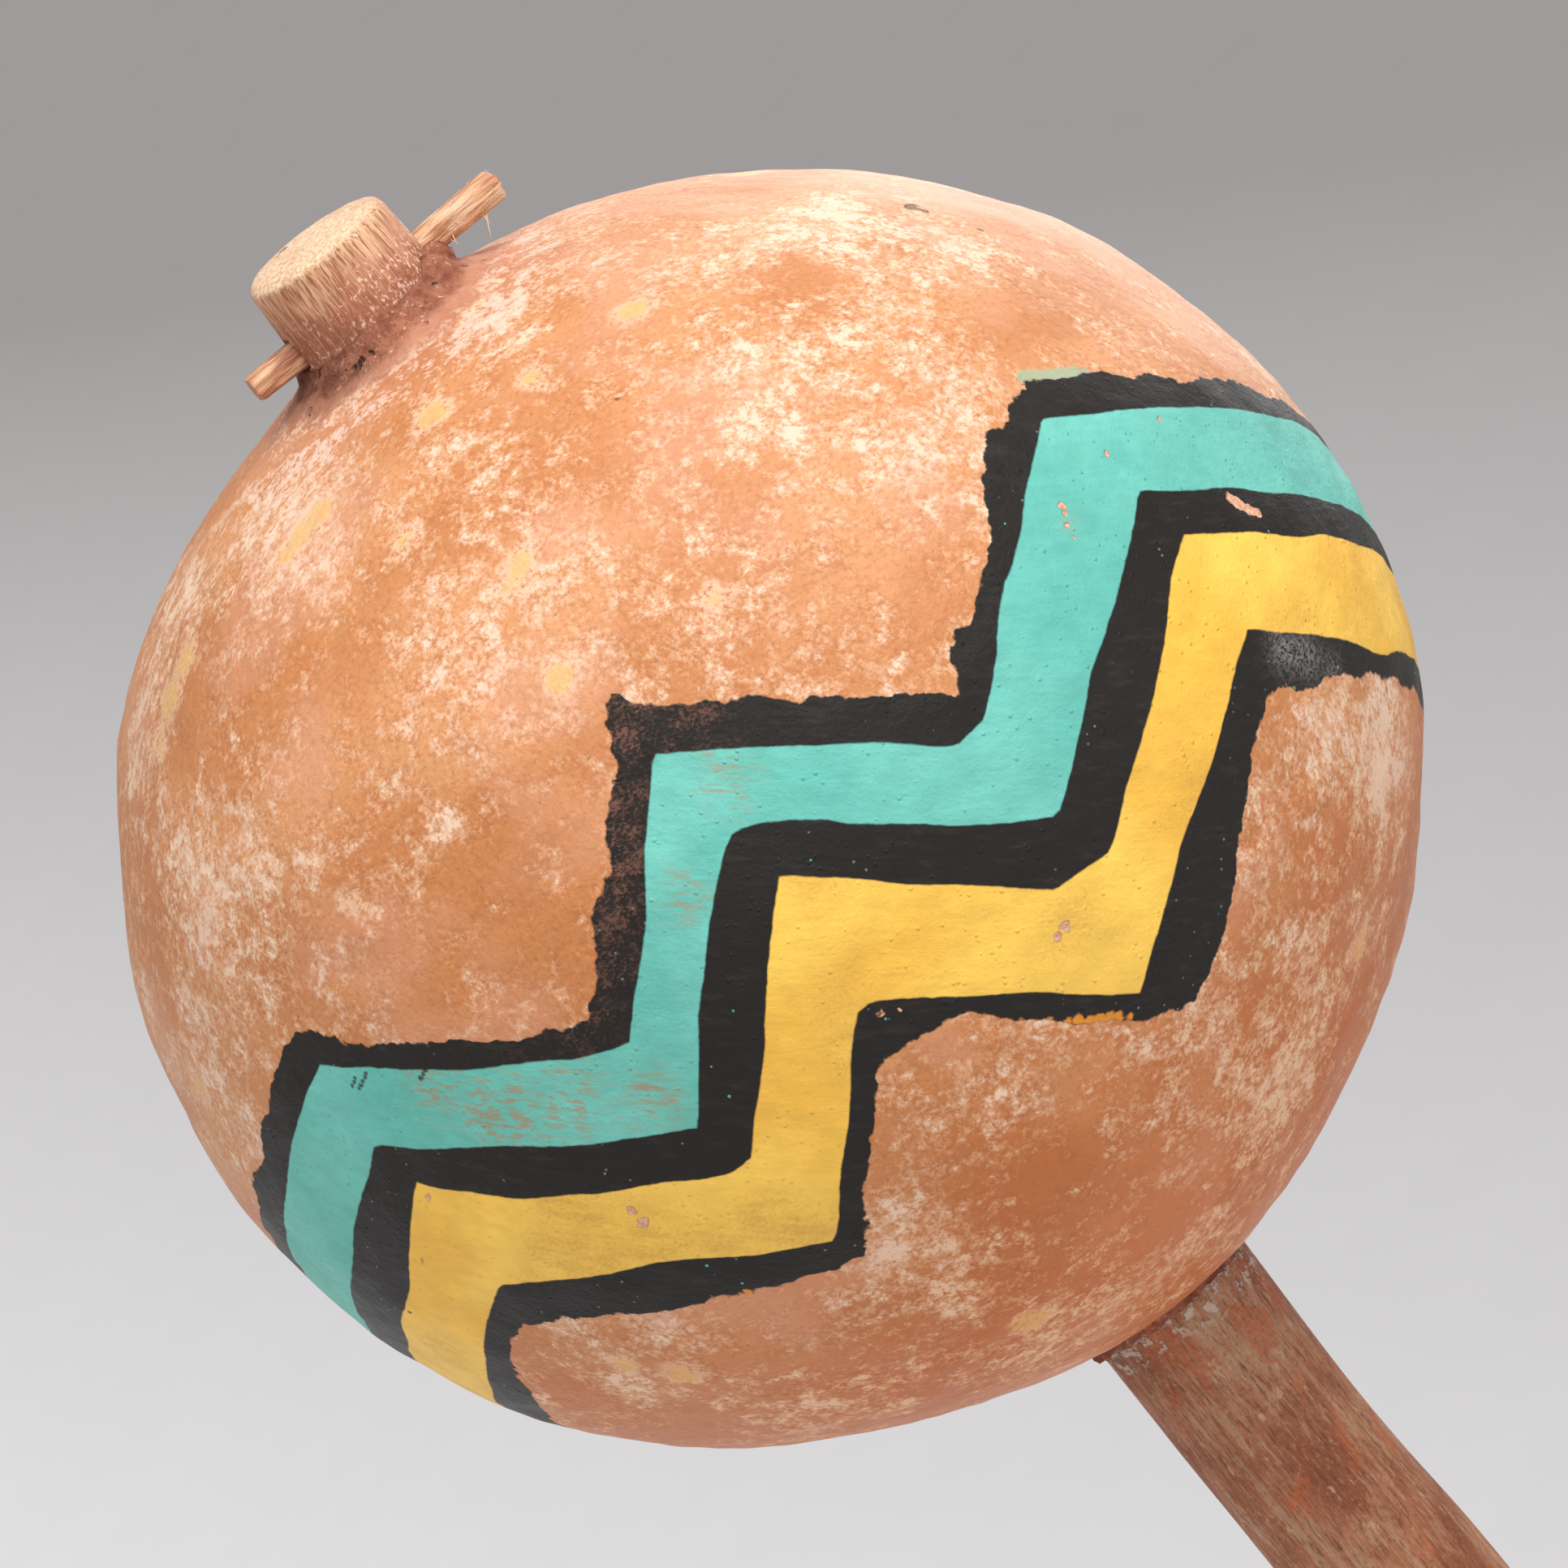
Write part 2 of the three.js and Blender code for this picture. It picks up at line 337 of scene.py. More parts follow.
# Places where the upper black line bulges out over the skin: [longitude, height, radius in mm].
LINE_BULGES = ((40.3, 29.8, 2), (38.2, 28.6, 1.9), (35.9, 27.5, 1.7), (34.4, 26, 1.2),
               (21.5, 18, 1.9), (22.8, 19.2, 1.5))

# Paler parts of the skin and, with a negative strength, barer ones: [longitude, height, radius in mm,
# strength].
PALE_PATCHES = (
    (22.7, 66, 4, 1.6), (31, 69, 7, 0.6), (-0.5, 62, 7, 0.5), (-14.5, 63, 7, 0.5), (-27.6, 62, 6, 0.4),
    (-47, 60, 6, 0.4), (70, 53, 9, 1.5), (69, 44, 6, 1), (38, 49, 8, 0.6), (33, 41, 8, 0.7),
    (7, 39, 6, 0.4), (-25, 37, 1.6, 2.2), (-42, 40, 2.4, 1.4), (-82, 62, 8, 0.7), (-68, 30, 10, 0.8),
    (-83, 51, 8, 0.7), (-61, 44, 6, 0.5), (-33, -32, 9, 0.25), (-18, -42, 8, 0.3), (-46, -29, 8, 0.3),
    (16, -46, 7, 0.4), (35, -35, 9, 0.8), (-9.5, 46, 7, -0.5), (-28, 43, 8, -0.5), (-29, 22, 6, 0.8),
    (-20, 30, 6, 0.5), (2, -21, 9, 0.7), (10, 58, 5, 0.5), (51, -32, 9, 0.8), (60, -24, 9, 0.8),
    (47, -19, 5, 0.8), (30, -50, 8, 1), (44, -46, 7, 0.7), (8, -56, 8, 0.5),
    (-34, -40, 8, -0.8), (-20, -38, 6, -0.6), (-41, -30, 5, -0.5),
    (5, 46, 14, 0.3), (-12, 52, 12, 0.3), (58, 60, 12, 0.6), (150, 40, 14, 0.7), (200, 55, 12, 0.7),
    (240, -45, 14, 0.7), (120, -50, 12, 0.5), (37.5, 66, 7, -0.9), (-46, 58, 6, -0.7), (-14, 42, 9, -0.5),
    (-21, 28, 11, -0.9), (-36, 28, 9, -0.6), (59, 35, 7, -0.8), (-9, -24, 6, -0.4), (7, -29, 11, -0.5),
    (-6, -44, 8, -0.5), (76, 63, 6, -0.5), (22, 30, 7, -0.5), (180, 50, 11, -0.9), (160, -45, 12, -0.8),
)
# Yellow-ochre blotches with pale rims: [longitude, height, radius in mm].
OCHRE_BLOTCHES = (
    (-3.2, 66, 1.9), (15.6, 64, 1.4), (-34.5, 65, 2.2), (-38.5, 64.4, 2.2), (-42.6, 63.7, 1.8),
    (-69, 59.3, 2.2), (-71, 56.8, 2.4), (-73, 54.3, 2), (-4.7, 52.5, 1.6), (-6.7, 51.5, 1.3),
    (-7.8, 42, 2), (9, 39, 1.3), (36.4, 62, 1.6), (-39, 35.3, 1.4), (-43, -29.7, 2),
    (-46, -25.7, 1.8), (43.7, -43.3, 1.8), (-75, 21.5, 2.2), (-14.4, -50, 2), (-16.6, 60, 1.2),
    (140, 45, 2.4), (165, 58, 2), (215, 42, 2.6), (190, -48, 2.4), (235, 60, 2), (100, 58, 1.8),
)
# Chips in the paint that show the salmon ground.
PAINT_CHIPS = (
    (53.9, 6.6, 0.75), (54.1, 5.4, 1), (54.6, 4.1, 1), (55.2, 3.1, 0.75), (13, -11.1, 0.6),
    (12, -11.5, 0.6), (11, -11.9, 0.5), (1.9, -1, 0.8), (-3.3, -5, 0.9), (-2.1, -6.2, 0.7),
    (-31.1, -7.7, 0.6), (-31.1, -9.7, 0.7), (55.2, 17.9, 0.45), (46.7, 20.6, 0.42), (38.8, 20.9, 0.45),
    (38.3, 20.3, 0.4), (37.6, 19.5, 0.35), (37.2, 18, 0.32), (3, 24, 0.35), (130, 5, 1), (172, 0, 0.8),
    (222, 12, 1.1), (98, 14, 0.7), (-47.7, 3.9, 0.55), (-48.5, 3.1, 0.4),
)
# Scuffed places in the turquoise, where the brown ground shows in streaks.
SCUFFS = (
    (0, 26, 3.2), (-2, 23.5, 2.6), (38, 19.7, 1.4), (-10, 18, 3), (-35, 8.3, 6), (-39, 15.3, 4.5),
    (-29, 7.2, 5), (-23, 2.2, 4), (-8, 12, 2.2), (118, 8, 5), (200, 20, 6),
)
# Places where the black was brushed on nearly dry: [longitude, height, radius in mm, strength].
DRY_BRUSHING = (
    (-6, 36, 5, 1), (0, 32, 6, 0.8), (-10, 29, 5, 0.9), (-14, 24, 5, 1), (-18, 17, 5, 0.8),
    (-24, 13, 4, 0.8), (-30, 17, 5, 0.5), (130, 30, 8, 0.9), (210, 20, 9, 0.8), (250, 28, 6, 0.8),
)
# Orange paint smeared on the lower black line.
ORANGE_SMEARS = (
    (4.3, -15.2, 0.5), (5.2, -16.5, 0.6), (6.1, -17.6, 0.65), (7, -18.6, 0.65), (8.4, -19.9, 0.7),
    (9.2, -20.8, 0.8), (9.9, -21.6, 0.85), (10.7, -22.3, 0.85), (11.5, -23, 0.85), (12.2, -23.7, 0.8),
    (12.9, -24.4, 0.7), (-29.2, -23.8, 0.6), (-30.2, -24.1, 0.4), (22.8, -25.2, 0.45), (20.8, -23.2, 0.35),
)


def spots_along(start, end, count, radius):
    """Overlapping round spots, in an even row from one place [longitude, height] to another."""
    return tuple((*place, radius) for place in np.linspace(start, end, count))


# A faded green smear above the upper black line, and small dark pits in the skin.
GREEN_SMEAR = (*spots_along((49.2, 31.8), (53.7, 27.7), 9, 1), (54.6, 26.9, 0.75))
DARK_PITS = ((76, 47.7, 1.1), (75.3, 46.6, 0.9), (74, 41.6, 0.7), (73.3, 40.6, 0.5), (-8.9, 31.1, 0.5),
             (20.4, 57.9, 0.4))

# Thin dark scratches across the turquoise and the yellow.
DARK_SCRATCHES = (
    *spots_along((-47.4, 18), (-45.8, 19.2), 5, 0.36), *spots_along((-48, 18.6), (-47.2, 19.2), 3, 0.3),
    *spots_along((-39.5, 16.9), (-40.3, 16.3), 3, 0.34), *spots_along((-53.6, -2.8), (-54.4, -3.3), 3, 0.37),
    (-62.3, -9.5, 0.36),
)

# Places darkened partly by dirt and partly as painted shade, and lighter ones with a negative strength,
# partly cleaner and partly painted light: [longitude, height, radius, strength].
SOILED_AND_SHADED = ((-25, -15, 6, 2.2), (-30, -14, 5, 1.8), (-37, -8, 5, 1.2), (-52, -9, 6, 0.8), (-14, -6, 6, -1.5),
          (62, -14, 8, -2.5), (6, -5, 6, -1), (53, 0, 6, -1.5), (56, -9, 8, -2), (-56, -12, 6, 1),
          (-62, -18, 6, 1.2))

# Places on the lower black line where a grey sheen is painted in as a painted highlight: [longitude, height,
# radius, strength].
SHEEN_HIGHLIGHTS = ((46.5, -8.4, 2.6, 0.9), (48.8, -11.6, 2.4, 0.8), (51.2, -15.2, 2, 0.6), (190, -22, 4, 0.8))

SALMON_GROUND = (0.64, 0.28, 0.15)
PALE_SALMON = (0.8, 0.5, 0.36)
BLACK = (0.0185, 0.016, 0.014)

# The steps' long runs, and the brush strokes on them, go down to the right by this angle.
STEP_TILT = math.radians(39)

# The skin's colour deepens downwards from this height, over this depth: partly handling grime, partly
# painted shade on the gourd's underside.
GRIME_AND_SHADE_START = -14
GRIME_AND_SHADE_DEPTH = 36


def on_gourd(longitude, height):
    """A point of the gourd's surface, in millimetres, at a longitude in degrees and a height."""
    turn = math.radians(longitude)
    radius = GOURD_RADIUS * math.sqrt(max(0.0, 1 - (height / GOURD_HALF_HEIGHT) ** 2))
    return Vector((radius * math.sin(turn), -radius * math.cos(turn), GOURD_CENTRE + height))


def gourd_spots(places):
    """Spots on the gourd, from their places [longitude, height, radius]."""
    return [(on_gourd(longitude, height), radius) for longitude, height, radius in places]


def ripple(points, wavelength, seed, waves=24):
    """A smooth random field over points, about zero, with a spread of about one."""
    random = np.random.RandomState(SEED + seed)
    directions = random.normal(size=(waves, 3))
    directions /= np.linalg.norm(directions, axis=1)[:, None]
    lengths = wavelength * random.uniform(0.75, 1.35, waves)
    phases = random.uniform(0, 2 * math.pi, waves)
    angles = points @ (directions * (2 * math.pi / lengths)[:, None]).T + phases
    return np.cos(angles).sum(axis=1) * math.sqrt(2 / waves)


def cloudy(points, size, seed):
    """A rougher random field: ripples of a size, and of its half and its quarter."""
    total = ripple(points, size, seed) + 0.55 * ripple(points, size / 2, seed + 1)
    return (total + 0.3 * ripple(points, size / 4, seed + 2)) / 1.2


def band_corners(peak, valley, front):
    """A painted edge's corners all the way round, and a little past both ends."""
    drop = SIDE_RUN_ON * SIDE_SLOPE
    left_end = (front[0][0] - SIDE_RUN_ON, front[0][1] - drop)
    right_end = (front[-1][0] + SIDE_RUN_ON, front[-1][1] - drop)
    corners = [left_end, *front, right_end]
    for index in range(BACK_PEAKS):
        corners.append((BACK_FIRST_PEAK + index * BACK_STEP, peak))
        if index < BACK_PEAKS - 1:
            corners.append((BACK_FIRST_PEAK + (index + 0.5) * BACK_STEP, valley))
    before = [(longitude - 360, height) for longitude, height in corners[-6:]]
    after = [(longitude + 360, height) for longitude, height in corners[:4]]
    return np.array(before + corners + after, dtype=float)


def distance_to_edge(longitude, height, radius, corners):
    """Signed distance, in mm, from points to a painted edge: above it is positive."""
    above = np.where(height > np.interp(longitude, corners[:, 0], corners[:, 1]), 1.0, -1.0)
    nearest = np.full(len(longitude), 1e9)
    for start, end in zip(corners[:-1], corners[1:]):
        along_x = np.radians(end[0] - start[0]) * radius
        along_y = end[1] - start[1]
        away_x = np.radians(longitude - start[0]) * radius
        away_y = height - start[1]
        share = (away_x * along_x + away_y * along_y) / (along_x ** 2 + along_y ** 2)
        share = np.clip(share, 0, 1)
        nearest = np.minimum(nearest, np.hypot(away_x - share * along_x, away_y - share * along_y))
    return above * nearest


def patch_field(points, patches):
    """The sum of soft round patches [longitude, height, radius, strength] at some points."""
    total = np.zeros(len(points))
    for longitude, height, radius, strength in patches:
        away = np.linalg.norm(points - np.array(on_gourd(longitude, height)), axis=1)
        total += strength * np.exp(-((away / radius) ** 2))
    return total


def spot_field(points, spots):
    """How far inside the nearest of some round spots [longitude, height, radius] the points are."""
    depth = np.full(len(points), -1e9)
    for longitude, height, radius in spots:
        away = np.linalg.norm(points - np.array(on_gourd(longitude, height)), axis=1)
        depth = np.maximum(depth, radius - away)
    return depth


def bare_skin(s):
    """The unpainted skin: its colour, its roughness and its relief."""
    clumps = s.noise(1.8, 4, seed=3, roughness=0.7)
    fine = s.noise(0.62, 5, seed=4, roughness=0.74)
    grain = s.add(s.times(clumps, 0.56), s.times(fine, 0.52))
    patch = s.noise(4.4, 3, seed=2, roughness=0.55, distortion=0.3)
    density = s.attribute("pale")
    tone = s.attribute("tone")
    grime_and_shade = s.attribute("grime_and_shade")
    crack = s.cells(1.8, seed=5, feature="DISTANCE_TO_EDGE", shift=s.ragged(1.1, 1, seed=6))
    crack = s.times(s.step(crack, 0.15, 0.02), s.step(patch, 0.36, 0.62))
    base = s.mix(s.step(tone, -1.2, 1.3), (0.57, 0.22, 0.074), (0.675, 0.305, 0.128))
    base = s.over(base, (0.46, 0.14, 0.036), s.step(fine, 0.5, 0.34), 0.55)
    # Painted shade and grime: the skin is darker and a deeper orange towards the bottom.
    base = s.over(base, (0.52, 0.18, 0.05), grime_and_shade, 0.75)
    # Pale mottles: small ones everywhere, which join where the skin is pale.
    value = s.add(grain, s.times(patch, 0.44), s.times(density, 0.06), s.times(crack, -0.045))
    mottle = s.step(value, 0.705, 0.835)
    solid = s.step(value, 0.815, 0.9)
    chalk = s.mix(s.step(tone, -1, 1.4), (0.735, 0.42, 0.245), (0.8, 0.52, 0.355))
    base = s.over(base, (0.42, 0.125, 0.036), crack, 0.34)
    skin = s.over(base, chalk, mottle, 0.66)
    skin = s.over(skin, (0.86, 0.645, 0.485), solid, 0.8)
    veil = s.times(s.step(s.attribute("veil"), 0.2, 1.7), 0.28)
    skin = s.mix(veil, skin, (0.72, 0.37, 0.25))
    # Ochre blotches, each inside a pale rim.
    edge = s.add(s.centred(patch, 5), s.centred(grain, 2.2))
    blotch = s.add(s.attribute("blotch"), edge)
    halo = s.times(s.step(blotch, -1.7, 0.1), s.step(fine, 0.36, 0.54))
    skin = s.over(skin, (0.82, 0.54, 0.36), halo, 0.72)
    skin = s.over(skin, (0.76, 0.45, 0.155), s.step(blotch, 0, 0.75), 0.72)
    # The lower skin and its mottles are tinted darker, partly grime and partly painted shade.
    soiling_and_shade = s.times(grime_and_shade, s.blend(mottle, 1, 0.55))
    skin = s.vector("MULTIPLY", skin, s.mix(soiling_and_shade, (1, 1, 1), (0.95, 0.68, 0.42)))
    # A red stain of clay round the stub, with chalk in it, and a dark one round the grip.
    wander = s.add(s.centred(patch, 9), s.centred(grain, 7))
    near = s.add(s.radius(), wander)
    upper = s.step(s.axis("Z"), GOURD_CENTRE - 1, GOURD_CENTRE + 1)
    skin = s.over(skin, (0.58, 0.245, 0.14), s.step(near, 27, 16), upper, 0.46)
    skin = s.over(skin, (0.46, 0.165, 0.092), s.step(near, 18.5, 13), upper, 0.75)
    smudge = s.times(s.step(value, 0.74, 0.82), s.step(near, 29, 20), s.step(s.radius(), 12, 15), upper)
    skin = s.over(skin, (0.86, 0.64, 0.53), smudge, 0.55)
    lower = s.flip(upper)
    rim = s.times(s.step(near, 24.5, 22.8), s.step(grain, 0.42, 0.58), lower)
    skin = s.over(skin, (0.74, 0.44, 0.28), rim, 0.7)
    skin = s.over(skin, (0.22, 0.055, 0.028), s.step(near, 21.3, 20.2), lower, 0.85)
    pit = s.spots(gourd_spots(DARK_PITS), s.ragged(1.5, 1.2, seed=14), -0.1, 0.35)
    skin = s.over(skin, (0.1, 0.045, 0.02), pit, 0.8)
    # Fine wrinkles and low lumps.
    wrinkle = s.noise(1.7, 2, seed=17, roughness=0.6, distortion=0.3)
    relief = s.add(s.times(wrinkle, 0.24), s.times(grain, -0.17), s.times(pit, -0.5))
    roughness = s.blend(mottle, 0.44, 0.6)
    return skin, roughness, relief, grain


def band_masks(s):
    """How far the paint covers, and the parts of it that are turquoise and yellow."""
    edges = [s.attribute(name) for name, *_ in BAND_EDGES]
    nibble = s.wobble(1.7, 0.95, seed=23, detail=4)
    sharp = 0.14
    wavy = s.times(nibble, 0.2)
    inner = [s.step(s.add(edge, wavy), -sharp, sharp) for edge in edges[1:5]]
    depth = s.math("MINIMUM", s.math("SUBTRACT", nibble, edges[0]), s.add(edges[5], nibble))
    # Where the brush ran dry, the paint breaks up.
    broken = s.noise(0.42, 4, (1.2, 1.2, 0.9), seed=26, roughness=0.7)
    worn_patch = s.noise(2.8, 2, seed=25)
    dryness = s.attribute("dryness")
    wear = s.add(s.times(broken, 0.85), s.times(worn_patch, 0.4), s.times(dryness, 0.08))
    gaps = s.times(s.step(wear, 0.65, 0.86), dryness)
    cover = s.step(depth, -sharp, sharp)
    turquoise = s.times(s.flip(inner[0]), inner[1])
    yellow = s.times(s.flip(inner[2]), inner[3])
    return cover, turquoise, yellow, depth, s.math("MINIMUM", gaps, 1), broken, worn_patch


def painted_skin():
    s = Shader("painted_gourd_skin")
    skin, skin_roughness, skin_relief, _ = bare_skin(s)
    cover, turquoise, yellow, depth, gaps, broken, worn_patch = band_masks(s)
    bright = s.math("MAXIMUM", turquoise, yellow)
    along_steps = s.turned((0, -STEP_TILT, 0))
    stroke = s.noise(1.5, 3, (3.6, 1.5, 0.7), seed=27, roughness=0.65, source=along_steps)
    dirt_and_shade = s.attribute("dirt_and_shade")
    fleck = s.step(s.cells(1.7, seed=29), 0.115, 0.06)
    tint = s.times(s.blend(stroke, 0.84, 1.14), s.blend(worn_patch, 0.88, 1.11))
    # Turquoise, thin and scuffed to a brown ground in places.
    sea = s.mix(s.step(s.attribute("tone"), -1.2, 1.2), (0.122, 0.485, 0.405), (0.162, 0.55, 0.465))
    sea = s.shade(sea, tint)
    rub = s.noise(0.85, 3, (4.5, 1.5, 0.7), seed=31, roughness=0.65, source=along_steps)
    scuff = s.add(s.attribute("scuff"), s.centred(stroke, 6))
    scuff = s.times(s.step(scuff, -2, 3), s.step(rub, 0.45, 0.62), 0.8)
    sea = s.mix(scuff, sea, (0.34, 0.26, 0.15))
    # Yellow, with soft brown dirt that is partly painted shade.
    sun = s.mix(s.step(s.attribute("tone"), -1.2, 1.2), (0.9, 0.505, 0.066), (0.98, 0.61, 0.098))
    sun = s.shade(sun, tint)
    # Painted shade and dirt: the yellow darkens where this field is high.
    soil_and_shade = s.times(s.step(dirt_and_shade, -0.9, 2.6), s.step(s.blend(0.4, stroke, broken), 0.34, 0.66), 0.58)
    sun = s.mix(soil_and_shade, sun, (0.52, 0.24, 0.04))
    crumbs = s.times(s.step(broken, 0.58, 0.68), s.step(dirt_and_shade, -0.2, 1.8), 0.3)
    sun = s.mix(crumbs, sun, (0.46, 0.22, 0.05))
    sun = s.over(sun, (0.5, 0.24, 0.05), fleck, 0.3)
    # Black, with pale flecks, worn to the skin where it was brushed on dry.
    ink = s.mix(s.step(stroke, 0.5, 0.8), BLACK, (0.034, 0.029, 0.026))
    ink = s.over(ink, (0.26, 0.28, 0.24), fleck, s.step(dirt_and_shade, -0.4, 0.8), 0.65)
    worn = s.times(gaps, s.flip(bright), 0.66)
    ink = s.mix(worn, ink, s.mix(worn_patch, (0.15, 0.064, 0.042), (0.31, 0.14, 0.092)))
    sea_fleck = s.times(s.step(s.cells(3.1, seed=33), 0.075, 0.045), s.step(worn_patch, 0.5, 0.58))
    ink = s.over(ink, (0.13, 0.5, 0.42), sea_fleck, 0.8)
    # A painted highlight: a grey sheen painted into the black's colour.
    painted_sheen = s.times(s.attribute("sheen_highlight"), s.step(broken, 0.38, 0.64), 0.9)
    ink = s.mix(painted_sheen, ink, (0.33, 0.31, 0.29))
    paint = s.mix(turquoise, ink, sea)
    paint = s.mix(yellow, paint, sun)
    smear = s.spots(gourd_spots(ORANGE_SMEARS), s.ragged(1.4, 0.7, seed=36), -0.15, 0.2)
    paint = s.over(paint, (0.8, 0.3, 0.035), smear, 0.9)
    scratch = s.spots(gourd_spots(DARK_SCRATCHES), s.ragged(0.8, 0.35, seed=38), -0.1, 0.14)
    paint = s.over(paint, BLACK, scratch, 0.85)
    # Chips down to the ground.
    chipped = s.spots(gourd_spots(PAINT_CHIPS), s.ragged(1.2, 0.7, seed=37), -0.06, 0.1)
    cover = s.times(cover, s.flip(chipped))
    salmon = s.mix(s.step(broken, 0.4, 0.6), SALMON_GROUND, PALE_SALMON)
    ground = s.over(skin, salmon, chipped, s.step(depth, 0, 0.6))
    green = s.spots(gourd_spots(GREEN_SMEAR), s.ragged(1.2, 0.5, seed=39), -0.15, 0.2)
    ground = s.over(ground, (0.31, 0.44, 0.29), green, 0.8)
    colour = s.mix(cover, ground, paint)
    roughness = s.blend(cover, skin_roughness, s.blend(bright, s.blend(stroke, 0.32, 0.56), 0.52))
    pimples = s.times(s.step(s.cells(1.2, seed=45), 0.24, 0.06), s.step(worn_patch, 0.46, 0.56))
    film = s.add(0.07, s.times(stroke, 0.09), s.times(broken, 0.09), s.times(pimples, 0.14))
    film = s.times(cover, film)
    relief = s.add(s.times(skin_relief, s.blend(cover, 1, 0.6)), film)
    gloss = s.blend(s.times(cover, s.flip(bright)), 0.34, 0.17)
    return s.finish(colour, roughness, relief, specular=gloss)


def gourd_inside():
    s = Shader("gourd_pulp")
    fibre = s.noise(2.4, 4, (1, 1, 3), seed=41, roughness=0.6)
    colour = s.mix(fibre, (0.36, 0.22, 0.11), (0.66, 0.48, 0.29))
    return s.finish(colour, 0.9, s.times(fibre, 0.5), specular=0.2)


# ---------------------------------------------------------------- wood, clay and stone

# Small gaps between the collar's front and the gourd, painted near-black as painted shadow inside them:
# [place, radius].
CLAY_GAPS = (
    ((-7.7, -8.6, GOURD_TOP + 1.1), 0.5), ((-5.9, -9.9, GOURD_TOP + 1), 0.5),
    ((-5.2, -10.2, GOURD_TOP + 1), 0.6), ((-4.5, -10.6, GOURD_TOP + 0.9), 0.55),
    ((-3.8, -10.8, GOURD_TOP + 0.9), 0.4), ((-2.4, -11.2, GOURD_TOP + 0.8), 0.35),
)


def axial_fibres(s, size, seed, along):
    """Fibres along the stick, longer than they are wide by a factor."""
    return s.noise(size, 4, (1, 1, along), seed=seed, roughness=0.6)


